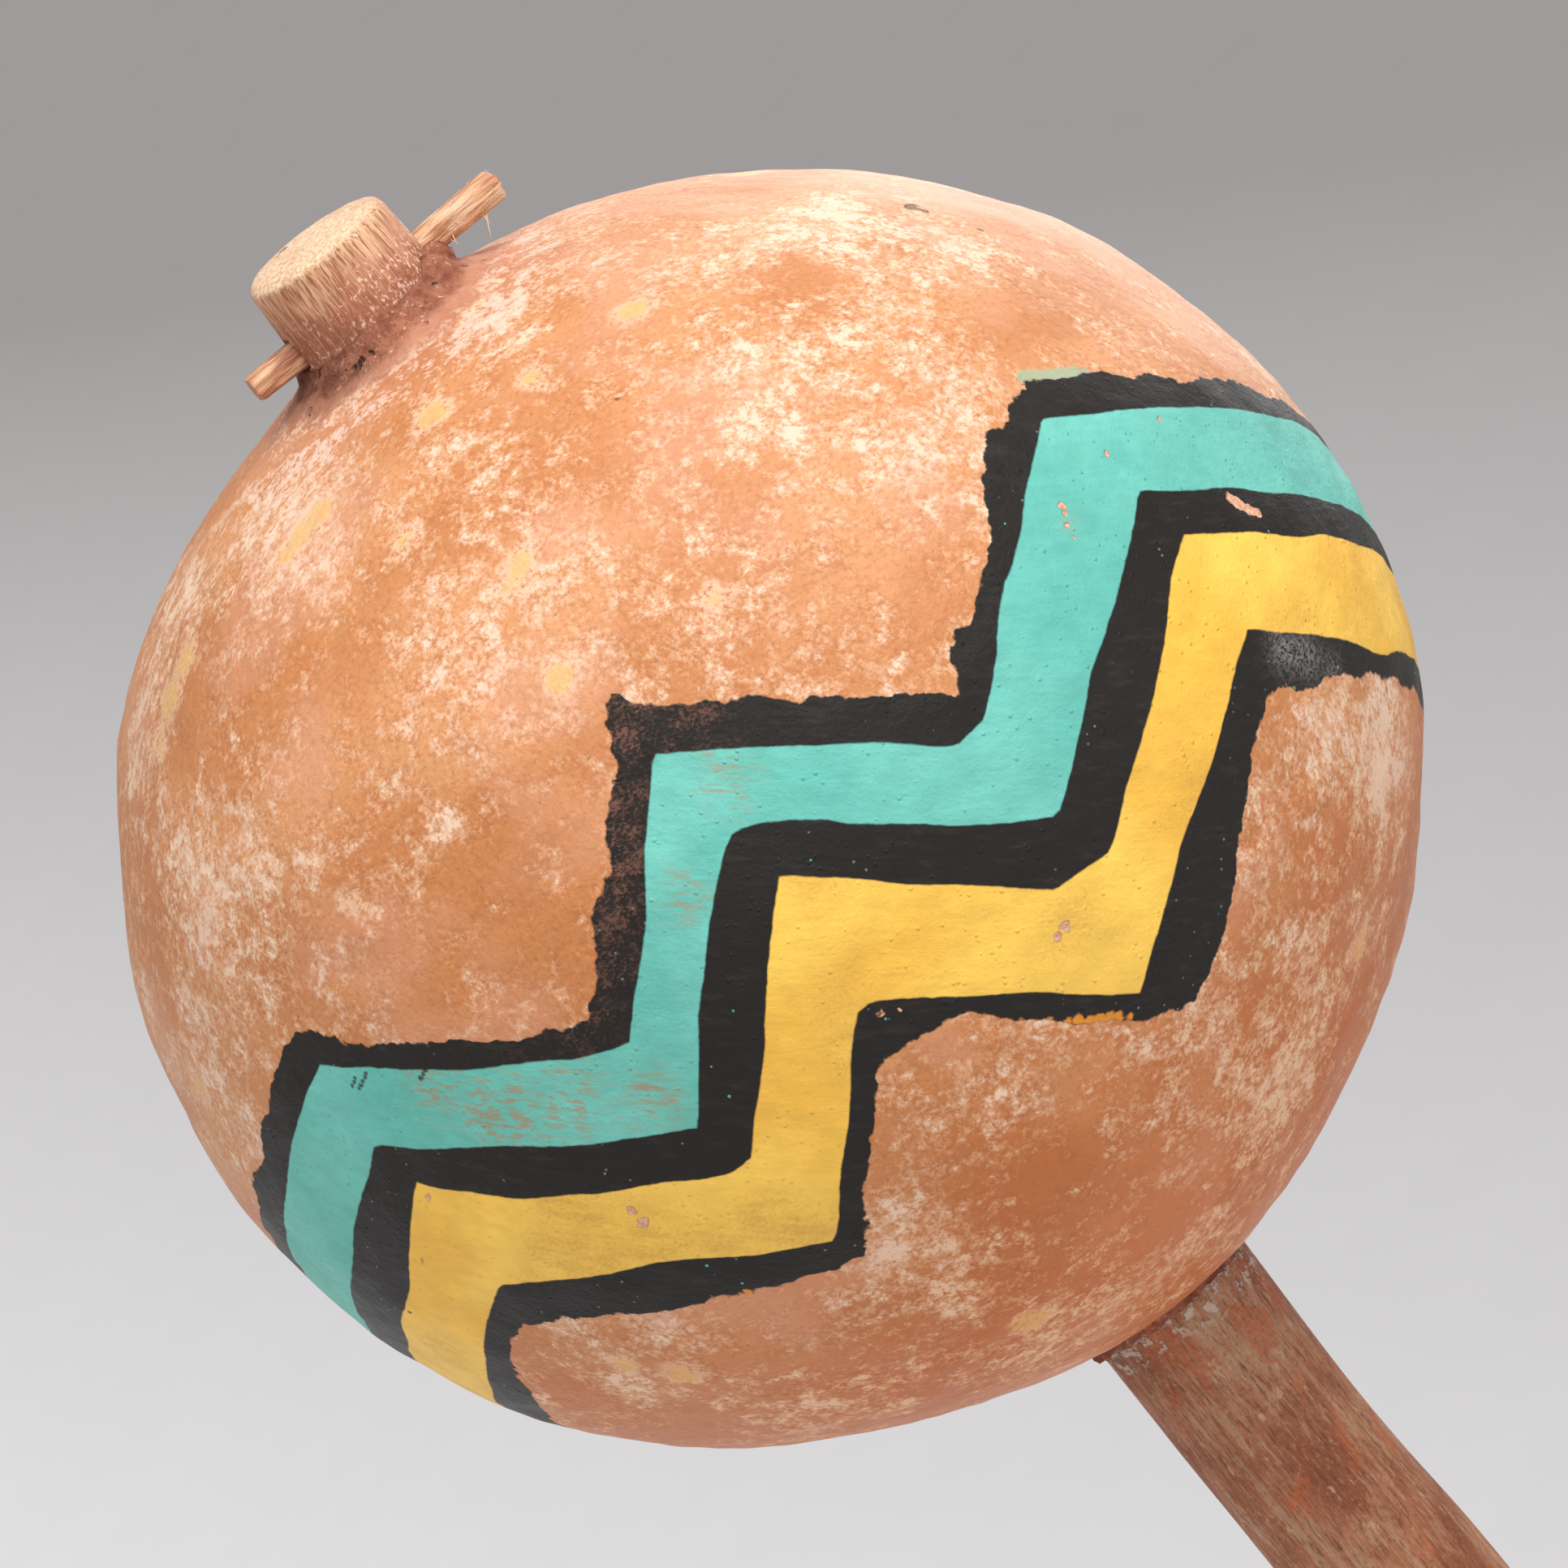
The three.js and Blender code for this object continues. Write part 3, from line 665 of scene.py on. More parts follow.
def stick_wood():
    """Bare straw-coloured wood at the stub, red-brown handled wood down the grip."""
    s = Shader("whittled_stick")
    height = s.axis("Z")
    upper = s.step(height, GOURD_CENTRE - 5, GOURD_CENTRE + 5)
    fibre = s.blend(upper, axial_fibres(s, 0.3, 63, along=9), axial_fibres(s, 0.22, 50, along=16))
    streak = axial_fibres(s, 0.9, 51, along=11)
    coarse = s.noise(6.5, 3, (1, 1, 2.2), seed=52)
    crumb = s.noise(0.5, 4, (1, 1, 1.5), seed=54, roughness=0.7)
    # Painted shade: the stub's -X side gets darker strokes, a darker red-brown and fewer chalk specks.
    shaded_side = s.step(s.axis("X"), 7, -8)
    # The stub: pale wood, with red pigment left in its grain, most of it low down.
    straw = s.mix(s.step(streak, 0.28, 0.72), (0.56, 0.275, 0.14), (0.9, 0.585, 0.36))
    low = s.step(s.add(height, s.wobble(5, 3, seed=53)), STUB_TOP - 1.8, STUB_TOP - 12.5)
    strokes = s.step(s.add(fibre, s.times(low, -0.05), s.times(shaded_side, -0.04)), 0.51, 0.37)
    straw = s.over(straw, (0.27, 0.09, 0.042), strokes, 0.74)
    pigment = s.step(s.add(s.times(fibre, 0.65), s.times(coarse, 0.55), s.times(low, 0.36)), 0.54, 0.74)
    straw = s.over(straw, (0.44, 0.15, 0.078), pigment, s.blend(low, 0.58, 0.82))
    # Painted shade on the stub's -X side.
    straw = s.over(straw, (0.34, 0.115, 0.062), shaded_side, s.step(low, 0, 0.5), 0.45)
    pale_fibre = s.times(s.step(fibre, 0.53, 0.66), 0.42)
    straw = s.mix(pale_fibre, straw, (0.82, 0.52, 0.32))
    foot = s.step(s.add(height, s.wobble(4, 2.2, seed=57)), GOURD_TOP + 6.6, GOURD_TOP + 3)
    stained = s.mix(s.step(crumb, 0.34, 0.66), (0.2, 0.06, 0.031), (0.47, 0.19, 0.108))
    straw = s.over(straw, stained, foot, 0.85)
    straw = s.over(straw, (0.22, 0.072, 0.036), strokes, s.blend(foot, 0.4, 0.15))
    chalky = s.add(crumb, s.times(shaded_side, -0.06))
    chalk = s.times(s.step(chalky, 0.53, 0.6), s.step(low, 0.05, 0.45), s.blend(foot, 0.8, 0.6))
    straw = s.mix(chalk, straw, (0.86, 0.64, 0.51))
    # End grain on the stub's top, and a small dark pit in it.
    on_end = s.step(s.add(height, s.times(s.radius(), 0.1)), STUB_TOP - 1.2, STUB_TOP - 0.5)
    pale_end = s.mix(s.step(crumb, 0.38, 0.6), (0.62, 0.37, 0.205), (0.94, 0.7, 0.475))
    pale_end = s.over(pale_end, (0.56, 0.32, 0.18), s.step(coarse, 0.5, 0.66), 0.35)
    straw = s.over(straw, pale_end, on_end, 0.88)
    pits = (((-3.1, 3.4, STUB_TOP - 0.7), 0.9), ((-3.9, 2.2, STUB_TOP - 0.7), 0.55))
    pit = s.spots(pits, s.ragged(0.9, 0.5, seed=62), -0.1, 0.4)
    straw = s.over(straw, (0.13, 0.07, 0.035), pit, 0.75)
    # The grip: handled red-brown, with grey weathered streaks, dark cracks and worn red paint.
    grip = s.mix(s.step(coarse, 0.35, 0.65), (0.27, 0.08, 0.032), (0.41, 0.155, 0.072))
    weathered = s.step(s.add(s.times(streak, 0.7), s.times(coarse, 0.6)), 0.655, 0.765)
    grip = s.over(grip, (0.47, 0.275, 0.155), weathered, 0.7)
    grip = s.over(grip, (0.1, 0.032, 0.016), s.step(fibre, 0.47, 0.34), 0.62)
    grip = s.over(grip, (0.55, 0.33, 0.19), s.step(fibre, 0.55, 0.68), 0.42)
    near_top = s.step(height, SHOULDER - 22, SHOULDER - 4)
    reddish = s.add(s.noise(5, 3, (1, 1, 1.5), seed=55), s.times(near_top, 0.06))
    red_paint = s.times(s.step(reddish, 0.55, 0.64), s.step(fibre, 0.35, 0.5), 0.62)
    grip = s.mix(red_paint, grip, (0.47, 0.11, 0.036))
    scratch = s.step(s.noise(1.3, 4, (1, 1, 3), seed=56, roughness=0.7), 0.6, 0.67)
    grip = s.over(grip, (0.68, 0.48, 0.31), scratch, 0.5)
    grip = s.over(grip, (0.15, 0.048, 0.024), s.step(crumb, 0.47, 0.36), 0.45)
    grip = s.over(grip, (0.6, 0.38, 0.225), s.step(crumb, 0.56, 0.66), 0.32)
    # Grey residue and a dark smear under the gourd.
    sagging = s.times(s.math("ABSOLUTE", s.axis("X")), 0.2)
    smear_edge = s.add(height, sagging, s.wobble(2.2, 1.1, seed=59))
    residue_edge = s.add(smear_edge, s.wobble(6, 4, seed=58))
    flakes = s.noise(1.5, 4, seed=60, roughness=0.65)
    residue = s.times(s.step(residue_edge, SHOULDER - 5, SHOULDER - 2.2), s.step(flakes, 0.49, 0.58),
                      s.flip(upper))
    grip = s.over(grip, (0.62, 0.49, 0.385), residue, 0.74)
    smear = s.step(smear_edge, SHOULDER - 0.5, SHOULDER + 0.2)
    grip = s.over(grip, (0.17, 0.045, 0.025), smear, 0.9)
    colour = s.mix(upper, grip, straw)
    # Clean wood inside the gourd.
    above_shoulder = s.step(height, SHOULDER + 1.6, SHOULDER + 2.8)
    inside = s.times(above_shoulder, s.step(height, GOURD_TOP - 1.8, GOURD_TOP - 3))
    colour = s.mix(inside, colour, s.mix(streak, (0.46, 0.27, 0.14), (0.7, 0.47, 0.27)))
    relief = s.add(s.times(fibre, 0.1), s.times(streak, 0.14), s.times(residue, 0.15),
                   s.times(pit, -0.4), s.times(crumb, s.blend(foot, 0.06, 0.16)))
    roughness = s.blend(streak, 0.5, 0.78)
    return s.finish(colour, roughness, relief, specular=0.38)


def peg_wood():
    s = Shader("split_peg")
    line = s.turned((0, 0, -PEG_YAW))
    fibre = s.noise(0.32, 3, (12, 1, 1), seed=70, roughness=0.6, source=line)
    streak = s.noise(0.9, 3, (9, 1, 1), seed=71, source=line)
    patch = s.noise(3.2, 3, (2, 1, 1), seed=72, source=line)
    colour = s.mix(s.step(streak, 0.25, 0.72), (0.52, 0.23, 0.112), (0.86, 0.545, 0.325))
    colour = s.over(colour, (0.28, 0.105, 0.05), s.step(fibre, 0.56, 0.36), 0.66)
    stained = s.times(s.step(patch, 0.44, 0.57), s.step(fibre, 0.66, 0.44), 0.7)
    colour = s.mix(stained, colour, (0.42, 0.13, 0.075))
    colour = s.over(colour, (0.84, 0.62, 0.46), s.step(patch, 0.42, 0.32), 0.35)
    relief = s.add(s.times(fibre, 0.22), s.times(streak, 0.2))
    return s.finish(colour, 0.72, relief, specular=0.35)


def splinter_wood():
    s = Shader("fresh_splinters")
    fibre = s.noise(0.4, 2, seed=75)
    colour = s.mix(fibre, (0.78, 0.48, 0.27), (0.92, 0.68, 0.46))
    return s.finish(colour, 0.75, s.times(fibre, 0.05), specular=0.3)


def clay(s, dark, light, chalk, seed):
    """Sun-dried clay paste with pits, crumbs and chalky specks: its colour and its relief."""
    body = s.noise(2.6, 3, seed=seed, roughness=0.6)
    crumb = s.noise(0.5, 3, seed=seed + 1, roughness=0.65)
    colour = s.mix(s.step(body, 0.32, 0.7), dark, light)
    colour = s.over(colour, tuple(0.45 * part for part in dark), s.step(crumb, 0.5, 0.32), 0.5)
    specks = s.step(s.noise(0.7, 3, seed=seed + 2, roughness=0.7), 0.58, 0.68)
    colour = s.over(colour, chalk, specks, s.step(body, 0.42, 0.6), 0.7)
    # Painted shade: small pits in the clay are painted near-black.
    hole = s.step(s.cells(2.4, seed=seed + 3), 0.2, 0.11)
    hole = s.times(hole, s.step(s.noise(4, 2, seed=seed + 4), 0.52, 0.62))
    colour = s.over(colour, (0.05, 0.02, 0.015), hole, 0.9)
    return colour, s.add(s.times(body, 0.3), s.times(crumb, 0.24), s.times(hole, -0.8))


def collar_clay():
    """The collar's clay, thinning out into the gourd's stained skin."""
    s = Shader("clay_collar")
    colour, relief = clay(s, (0.2, 0.06, 0.031), (0.42, 0.158, 0.088), (0.84, 0.62, 0.5), 80)
    skin, _, skin_relief, grain = bare_skin(s)
    reach = s.add(s.radius(), s.wobble(5, 1.6, seed=86), s.centred(grain, 3))
    smeared = s.mix(s.noise(1.6, 4, seed=87), (0.37, 0.13, 0.069), (0.62, 0.3, 0.185))
    colour = s.mix(s.step(reach, 11.6, 13.2), colour, smeared)
    # Painted shade: the collar is darker towards -X and a little lighter towards +X.
    colour = s.shade(colour, s.blend(s.step(s.axis("X"), 4, -8), 1.05, 0.7))
    # Painted shadow in the gaps between the collar and the gourd.
    gap = s.spots(CLAY_GAPS, s.ragged(1.2, 0.6, seed=88), -0.1, 0.25)
    colour = s.over(colour, (0.035, 0.015, 0.01), gap, 0.9)
    thin = s.step(reach, 12.5, 17)
    colour = s.mix(thin, colour, skin)
    relief = s.add(relief, s.times(gap, -0.8))
    return s.finish(colour, 0.75, s.blend(thin, relief, skin_relief), specular=0.3)


def crust_clay():
    s = Shader("clay_crust")
    colour, relief = clay(s, (0.17, 0.042, 0.022), (0.36, 0.115, 0.06), (0.58, 0.46, 0.38), 90)
    return s.finish(colour, 0.85, relief, specular=0.25)


def pebble_stone():
    s = Shader("worn_pebble")
    cloud = s.noise(2.4, 4, seed=90, roughness=0.6)
    speck = s.step(s.cells(0.8, seed=91), 0.22, 0.12)
    colour = s.mix(cloud, (0.26, 0.21, 0.165), (0.52, 0.455, 0.38))
    colour = s.over(colour, (0.12, 0.1, 0.085), speck, 0.6)
    relief = s.add(s.times(cloud, 0.12), s.times(speck, -0.06))
    return s.finish(colour, s.blend(cloud, 0.55, 0.78), relief, specular=0.4)


def make_floor():
    """A wide pale floor that glows with its own light, darker to one side as painted shade, as a paper sweep
    is under a soft lamp.
    """
    s = Shader("paper_floor")
    darker_x, darker_y = 0.955, 0.297
    distance = s.add(s.times(s.axis("X"), MM * darker_x), s.times(s.axis("Y"), MM * darker_y))
    middle = 0.8 - darker_y * CAMERA_DISTANCE * MM * math.cos(CAMERA_ELEVATION)
    shade = s.step(distance, middle - 0.36, middle + 0.5, smooth=False)
    tone = s.mix(shade, (0.825, 0.814, 0.829), (0.348, 0.33, 0.328))
    paper = s.noise(40, 1, seed=95)
    tone = s.shade(tone, s.blend(paper, 0.985, 1.015))
    # Painted light: the floor's tone is given as emission, so it glows, and its gradient is painted shade.
    s.connect(s.surface, {"Base Color": s.shade(tone, 0.03), "Emission Color": tone, "Roughness": 0.95,
                          "Emission Strength": 0.98, "Specular IOR Level": 0.0})
    half, drop = 9000, 370
    corners = [(-half, -half), (half, -half), (half, half), (-half, half)]
    mesh = bpy.data.meshes.new("floor")
    mesh.from_pydata([(x * MM, y * MM, (BUTT - drop) * MM) for x, y in corners], [], [(0, 1, 2, 3)])
    floor = bpy.data.objects.new("floor", mesh)
    bpy.context.scene.collection.objects.link(floor)
    floor.data.materials.append(s.material)


# ---------------------------------------------------------------- mesh building

def new_object(name, points, faces, materials):
    """An object from points in millimetres."""
    mesh = bpy.data.meshes.new(name)
    mesh.from_pydata((np.asarray(points) * MM).tolist(), [], faces)
    surface = bmesh.new()
    surface.from_mesh(mesh)
    bmesh.ops.recalc_face_normals(surface, faces=surface.faces)
    surface.to_mesh(mesh)
    surface.free()
    mesh.polygons.foreach_set("use_smooth", [True] * len(mesh.polygons))
    mesh.update()
    thing = bpy.data.objects.new(name, mesh)
    bpy.context.scene.collection.objects.link(thing)
    for material in materials:
        mesh.materials.append(material)
    return thing


def ring_faces(rows, columns, closed=False):
    """Quads between rings of points. A closed surface joins its last ring to its first."""
    faces = []
    for row in range(rows if closed else rows - 1):
        low = row * columns
        high = ((row + 1) % rows) * columns
        for column in range(columns):
            following = (column + 1) % columns
            faces.append((low + column, low + following, high + following, high + column))
    return faces


def capped_rings(rings):
    """Points and faces of stacked rings, from the bottom up, with a fan at each end."""
    rows, columns = len(rings), len(rings[0])
    ends = [np.mean(rings[0], axis=0), np.mean(rings[-1], axis=0)]
    points = np.concatenate([np.concatenate(rings), ends])
    faces = ring_faces(rows, columns)
    bottom, top = rows * columns, rows * columns + 1
    last = (rows - 1) * columns
    for column in range(columns):
        following = (column + 1) % columns
        faces.append((bottom, following, column))
        faces.append((top, last + column, last + following))
    return points, faces


def turned_rings(profile, columns):
    """Rings of points about Z for a profile of [radius, height]."""
    turns = 2 * math.pi * np.arange(columns) / columns
    return [np.stack([radius * np.sin(turns), -radius * np.cos(turns), np.full(columns, height)], axis=1)
            for radius, height in profile]


def outward(points):
    """Unit directions away from the stick's axis."""
    flat = points * (1, 1, 0)
    return flat / np.maximum(np.linalg.norm(flat, axis=1), 1e-6)[:, None]


def subdivided(profile, spacing):
    """A profile with each straight stretch cut into even steps of about a spacing."""
    dense = [profile[0]]
    for start, end in zip(profile[:-1], profile[1:]):
        count = max(1, round(math.dist(start, end) / spacing))
        dense += [tuple(a + (b - a) * i / count for a, b in zip(start, end)) for i in range(1, count + 1)]
    return dense


def arc(radius_centre, height_centre, radius, start, end, steps):
    """Profile points on an arc, from one angle to another, in degrees."""
    angles = np.radians(np.linspace(start, end, steps))
    return [(radius_centre + radius * math.cos(a), height_centre + radius * math.sin(a)) for a in angles]


def apply_boolean(thing, tool, operation):
    """Joins a tool to a thing, or cuts it away, and removes the tool."""
    change = thing.modifiers.new(operation, "BOOLEAN")
    change.operation = operation
    change.solver = "EXACT"
    change.object = tool
    ready = thing.evaluated_get(bpy.context.evaluated_depsgraph_get())
    mesh = bpy.data.meshes.new_from_object(ready)
    thing.modifiers.clear()
    thing.data = mesh
    mesh.polygons.foreach_set("use_smooth", [True] * len(mesh.polygons))
    bpy.data.objects.remove(tool)


def on_body(thing, body, material_slot, *nodes):
    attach(thing, body)
    if nodes:
        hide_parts(*nodes)


# ---------------------------------------------------------------- the gourd

GOURD_COLUMNS = 384
OUTER_ROWS = 204
INNER_ROWS = 26


def wall_rings(radius, half_height, rows, upwards):
    edge = math.acos(STICK_HOLE_RADIUS / radius)
    latitudes = np.linspace(-edge, edge, rows)
    if not upwards:
        latitudes = latitudes[::-1]
    profile = [(radius * math.cos(t), GOURD_CENTRE + half_height * math.sin(t)) for t in latitudes]
    return turned_rings(profile, GOURD_COLUMNS)


def gourd_lumps(points):
    """How far the outer skin stands out or in, in millimetres."""
    lean = -0.55 * 2 * points[:, 0] * (points[:, 2] - GOURD_CENTRE) / (GOURD_RADIUS * GOURD_HALF_HEIGHT)
    broad = 0.34 * ripple(points, 62, 1) + 0.17 * ripple(points, 27, 2)
    folds = 0.055 * ripple(points * (1, 1, 1.6), 9, 3) + 0.03 * ripple(points, 4.5, 4, waves=40)
    return lean + broad + folds


def set_attribute(thing, name, values):
    attribute = thing.data.attributes.new(name, "FLOAT", "POINT")
    attribute.data.foreach_set("value", values.astype(np.float32))


def make_gourd():
    outer = np.concatenate(wall_rings(GOURD_RADIUS, GOURD_HALF_HEIGHT, OUTER_ROWS, True))
    inner = np.concatenate(wall_rings(GOURD_RADIUS - WALL, GOURD_HALF_HEIGHT - WALL, INNER_ROWS, False))
    centre = np.array((0, 0, GOURD_CENTRE))
    away = (outer - centre) / np.array((GOURD_RADIUS, GOURD_RADIUS, GOURD_HALF_HEIGHT))
    steady = np.clip((np.hypot(outer[:, 0], outer[:, 1]) - STICK_HOLE_RADIUS) / 12, 0, 1)
    outer = outer + away * (gourd_lumps(outer) * steady)[:, None]
    points = np.concatenate([outer, inner])
    faces = ring_faces(OUTER_ROWS + INNER_ROWS, GOURD_COLUMNS, closed=True)
    gourd = new_object("painted_gourd", points, faces, [painted_skin(), gourd_inside()])
    inside = [0 if face < (OUTER_ROWS - 1) * GOURD_COLUMNS else 1 for face in range(len(faces))]
    gourd.data.polygons.foreach_set("material_index", inside)
    longitude = np.degrees(np.arctan2(points[:, 0], -points[:, 1]))
    height = points[:, 2] - GOURD_CENTRE
    radius = np.hypot(points[:, 0], points[:, 1])
    ragged = 0.34 * ripple(points, 8, 100)
    for index, (name, peak, valley, front) in enumerate(BAND_EDGES):
        values = distance_to_edge(longitude, height, radius, band_corners(peak, valley, front))
        outermost = index in (0, len(BAND_EDGES) - 1)
        values += ragged if outermost else 0.18 * ripple(points, 13, 103 + index)
        if index == 0:
            values = np.minimum(values, -spot_field(points, LINE_BULGES))
        set_attribute(gourd, name, values)
    patches = patch_field(points, PALE_PATCHES)
    # A darkening that grows downwards, partly grime and partly painted shade.
    grime_and_shade = (GRIME_AND_SHADE_START - height) / GRIME_AND_SHADE_DEPTH + 0.12 * cloudy(points, 18, 150)
    looks = {
        "tone": cloudy(points, 34, 110),
        "veil": cloudy(points, 30, 120),
        # Dirt and painted shade on the yellow, with painted light where it is negative.
        "dirt_and_shade": cloudy(points, 22, 130) + patch_field(points, SOILED_AND_SHADED),
        "pale": 0.65 * cloudy(points, 30, 140) + 1.6 * patches - 0.25,
        "blotch": np.maximum(spot_field(points, OCHRE_BLOTCHES), -4),
        "scuff": np.maximum(spot_field(points, SCUFFS), -6),
        "dryness": patch_field(points, DRY_BRUSHING),
        "sheen_highlight": patch_field(points, SHEEN_HIGHLIGHTS),
        "grime_and_shade": np.clip(grime_and_shade, 0, 1),
    }
    for name, values in looks.items():
        set_attribute(gourd, name, values)
    on_body(gourd, "rattle", "gourd_skin", "gourd_shell")


# ---------------------------------------------------------------- the stick

STICK_COLUMNS = 144
GRIP_SHIFT = 0.4


def make_stick():
    shoulder_round, stub_round, dome = 2.2, 1.6, 0.7
    grip = [
        (0.6, BUTT), (GRIP_RADIUS - 1, BUTT), (GRIP_RADIUS, BUTT + 1),
        (GRIP_RADIUS - 0.55, BUTT + 78), (GRIP_RADIUS, SHOULDER - shoulder_round),
    ]
    shoulder = arc(GRIP_RADIUS - shoulder_round, SHOULDER - shoulder_round, shoulder_round, 15, 90, 6)
    rod = [(ROD_RADIUS, SHOULDER + 0.6), (ROD_RADIUS, GOURD_TOP - 3)]
    stub = [(ROD_RADIUS, GOURD_TOP), (STUB_RADIUS, STUB_TOP - dome - stub_round)]
    rim = arc(STUB_RADIUS - stub_round, STUB_TOP - dome - stub_round, stub_round, 8, 86, 11)
    end = [(6.6, STUB_TOP - dome + 0.28), (5, STUB_TOP - 0.2), (3, STUB_TOP - 0.05), (0.6, STUB_TOP)]
    profile = (subdivided(grip, 1.1) + shoulder + subdivided(rod, 14)
               + subdivided(stub, 0.35) + rim + subdivided(end, 0.5))
    rings = turned_rings(profile, STICK_COLUMNS)
    points, faces = capped_rings(rings)
    on_grip = np.clip((SHOULDER + 1 - points[:, 2]) / 4, 0, 1)
    on_stub = np.clip((points[:, 2] - GOURD_TOP + 2) / 2, 0, 1)
    sides = np.clip(np.hypot(points[:, 0], points[:, 1]) / 3, 0, 1)
    worn = 0.16 * ripple(points * (1, 1, 0.3), 16, 11) + 0.2 * ripple(points * (1, 1, 0.8), 46, 12) - 0.05
    cuts = 0.07 * ripple(points * (1, 1, 0.12), 4.2, 13, waves=40)
    grain = 0.035 * ripple(points * (1, 1, 0.06), 1.5, 14, waves=48)
    stub_shape = 0.07 * ripple(points * (1, 1, 0.5), 11, 15) + 0.05 * ripple(points * (1, 1, 0.1), 2.6, 16)
    push = on_grip * (worn + cuts + grain) + on_stub * (stub_shape + grain)
    points = points + outward(points) * (push * sides)[:, None]
    points[:, 0] += GRIP_SHIFT * on_grip
    slant = np.clip((points[:, 2] - STUB_TOP + 6) / 6, 0, 1)
    points[:, 2] -= slant * (0.45 + 0.05 * points[:, 0])
    stick = new_object("whittled_stick", points, faces, [stick_wood()])
    apply_boolean(stick, peg_passage(), "DIFFERENCE")
    on_body(stick, "rattle", "stick_wood", "stick")


# ---------------------------------------------------------------- the peg

PEG_CORNERS = ((-1, -0.8), (-0.7, -1), (0.6, -1), (1, -0.6), (0.95, 0.6), (0.5, 1), (-0.6, 0.95), (-1, 0.5))
PEG_THIN_END = 0.86


def peg_frame(points):
    """Turns points [along, sideways, up] into the peg's place."""
    along, side, up = points[:, 0], points[:, 1], points[:, 2]
    x = along * math.cos(PEG_YAW) - side * math.sin(PEG_YAW)
    y = along * math.sin(PEG_YAW) + side * math.cos(PEG_YAW)
    return np.stack([x, y, up + PEG_HEIGHT], axis=1)


def peg_outline(per_side):
    """The split peg's outline, for a thickness of two, with points along each of its sides."""
    outline = []
    for start, end in zip(PEG_CORNERS, PEG_CORNERS[1:] + PEG_CORNERS[:1]):
        outline += [(start[0] + (end[0] - start[0]) * i / per_side,
                     start[1] + (end[1] - start[1]) * i / per_side) for i in range(per_side)]
    return np.array(outline)


def peg_rings(outline, stations, scales):
    """Rings of [along, sideways, up] points, one to a station along the peg."""
    return [np.column_stack([np.full(len(outline), station), outline * scale])
            for station, scale in zip(stations, scales)]


def peg_passage():
    """The space that the peg slides through, a little larger than the peg."""
    half = PEG_THICKNESS / 2 + 0.28
    rings = peg_rings(peg_outline(1), (-30, 30), (half, half))
    points, faces = capped_rings(rings)
    return new_object("peg_passage", peg_frame(points), faces, [])


def make_peg():
    outline = peg_outline(4)
    body = np.linspace(PEG_START + 0.4, PEG_END - 0.7, 90)
    thick_end = [PEG_END - 0.45, PEG_END - 0.2, PEG_END]
    stations = np.concatenate([[PEG_START, PEG_START + 0.12], body, thick_end])
    taper = np.interp(stations, (PEG_START, PEG_END), (PEG_THIN_END, 1))
    ends = np.interp(stations, (PEG_START, PEG_START + 0.4, PEG_END - 0.6, PEG_END), (0.9, 1, 1, 0.8))
    rings = peg_rings(outline, stations, taper * ends * (PEG_THICKNESS / 2 - 0.04))
    points, faces = capped_rings(rings)
    side = points * (0, 1, 1)
    side /= np.maximum(np.linalg.norm(side, axis=1), 1e-6)[:, None]
    fibres = 0.06 * ripple(points * (0.1, 1, 1), 1.3, 21, waves=40)
    fibres += 0.05 * ripple(points * (0.35, 1, 1), 3.5, 22)
    bend = 0.1 * ripple(points * (1, 0, 0), 17, 23)
    middle = np.linalg.norm(points * (0, 1, 1), axis=1) > 0.5
    points = points + side * (np.minimum(fibres, 0.08) * middle)[:, None]
    points[:, 2] += bend
    frayed = np.clip((points[:, 0] - PEG_END + 0.8) / 0.8, 0, 1)
    points[:, 0] += frayed * (0.16 * ripple(points * (0.2, 1, 1), 1.1, 24, waves=40) - 0.2)
    peg = new_object("split_peg", peg_frame(points), faces, [peg_wood()])
    on_body(peg, "peg", "peg_wood", "cross_peg")


def splinter(start, heading, length, width, bend):
    """A thin fibre that tapers to a point: rings of [along, sideways, up] points and its faces."""
    heading = Vector(heading).normalized()
    across = heading.orthogonal().normalized()
    other = heading.cross(across)
    rings = []
    for step in range(7):
        share = step / 6
        middle = Vector(start) + heading * (length * share) + Vector(bend) * (share ** 2)
        radius = width / 2 * (1 - 0.9 * share)
        rings.append(np.array([middle + radius * (math.cos(t) * across + math.sin(t) * other)
                               for t in np.radians((0, 72, 144, 216, 288))]))
    return capped_rings(rings)


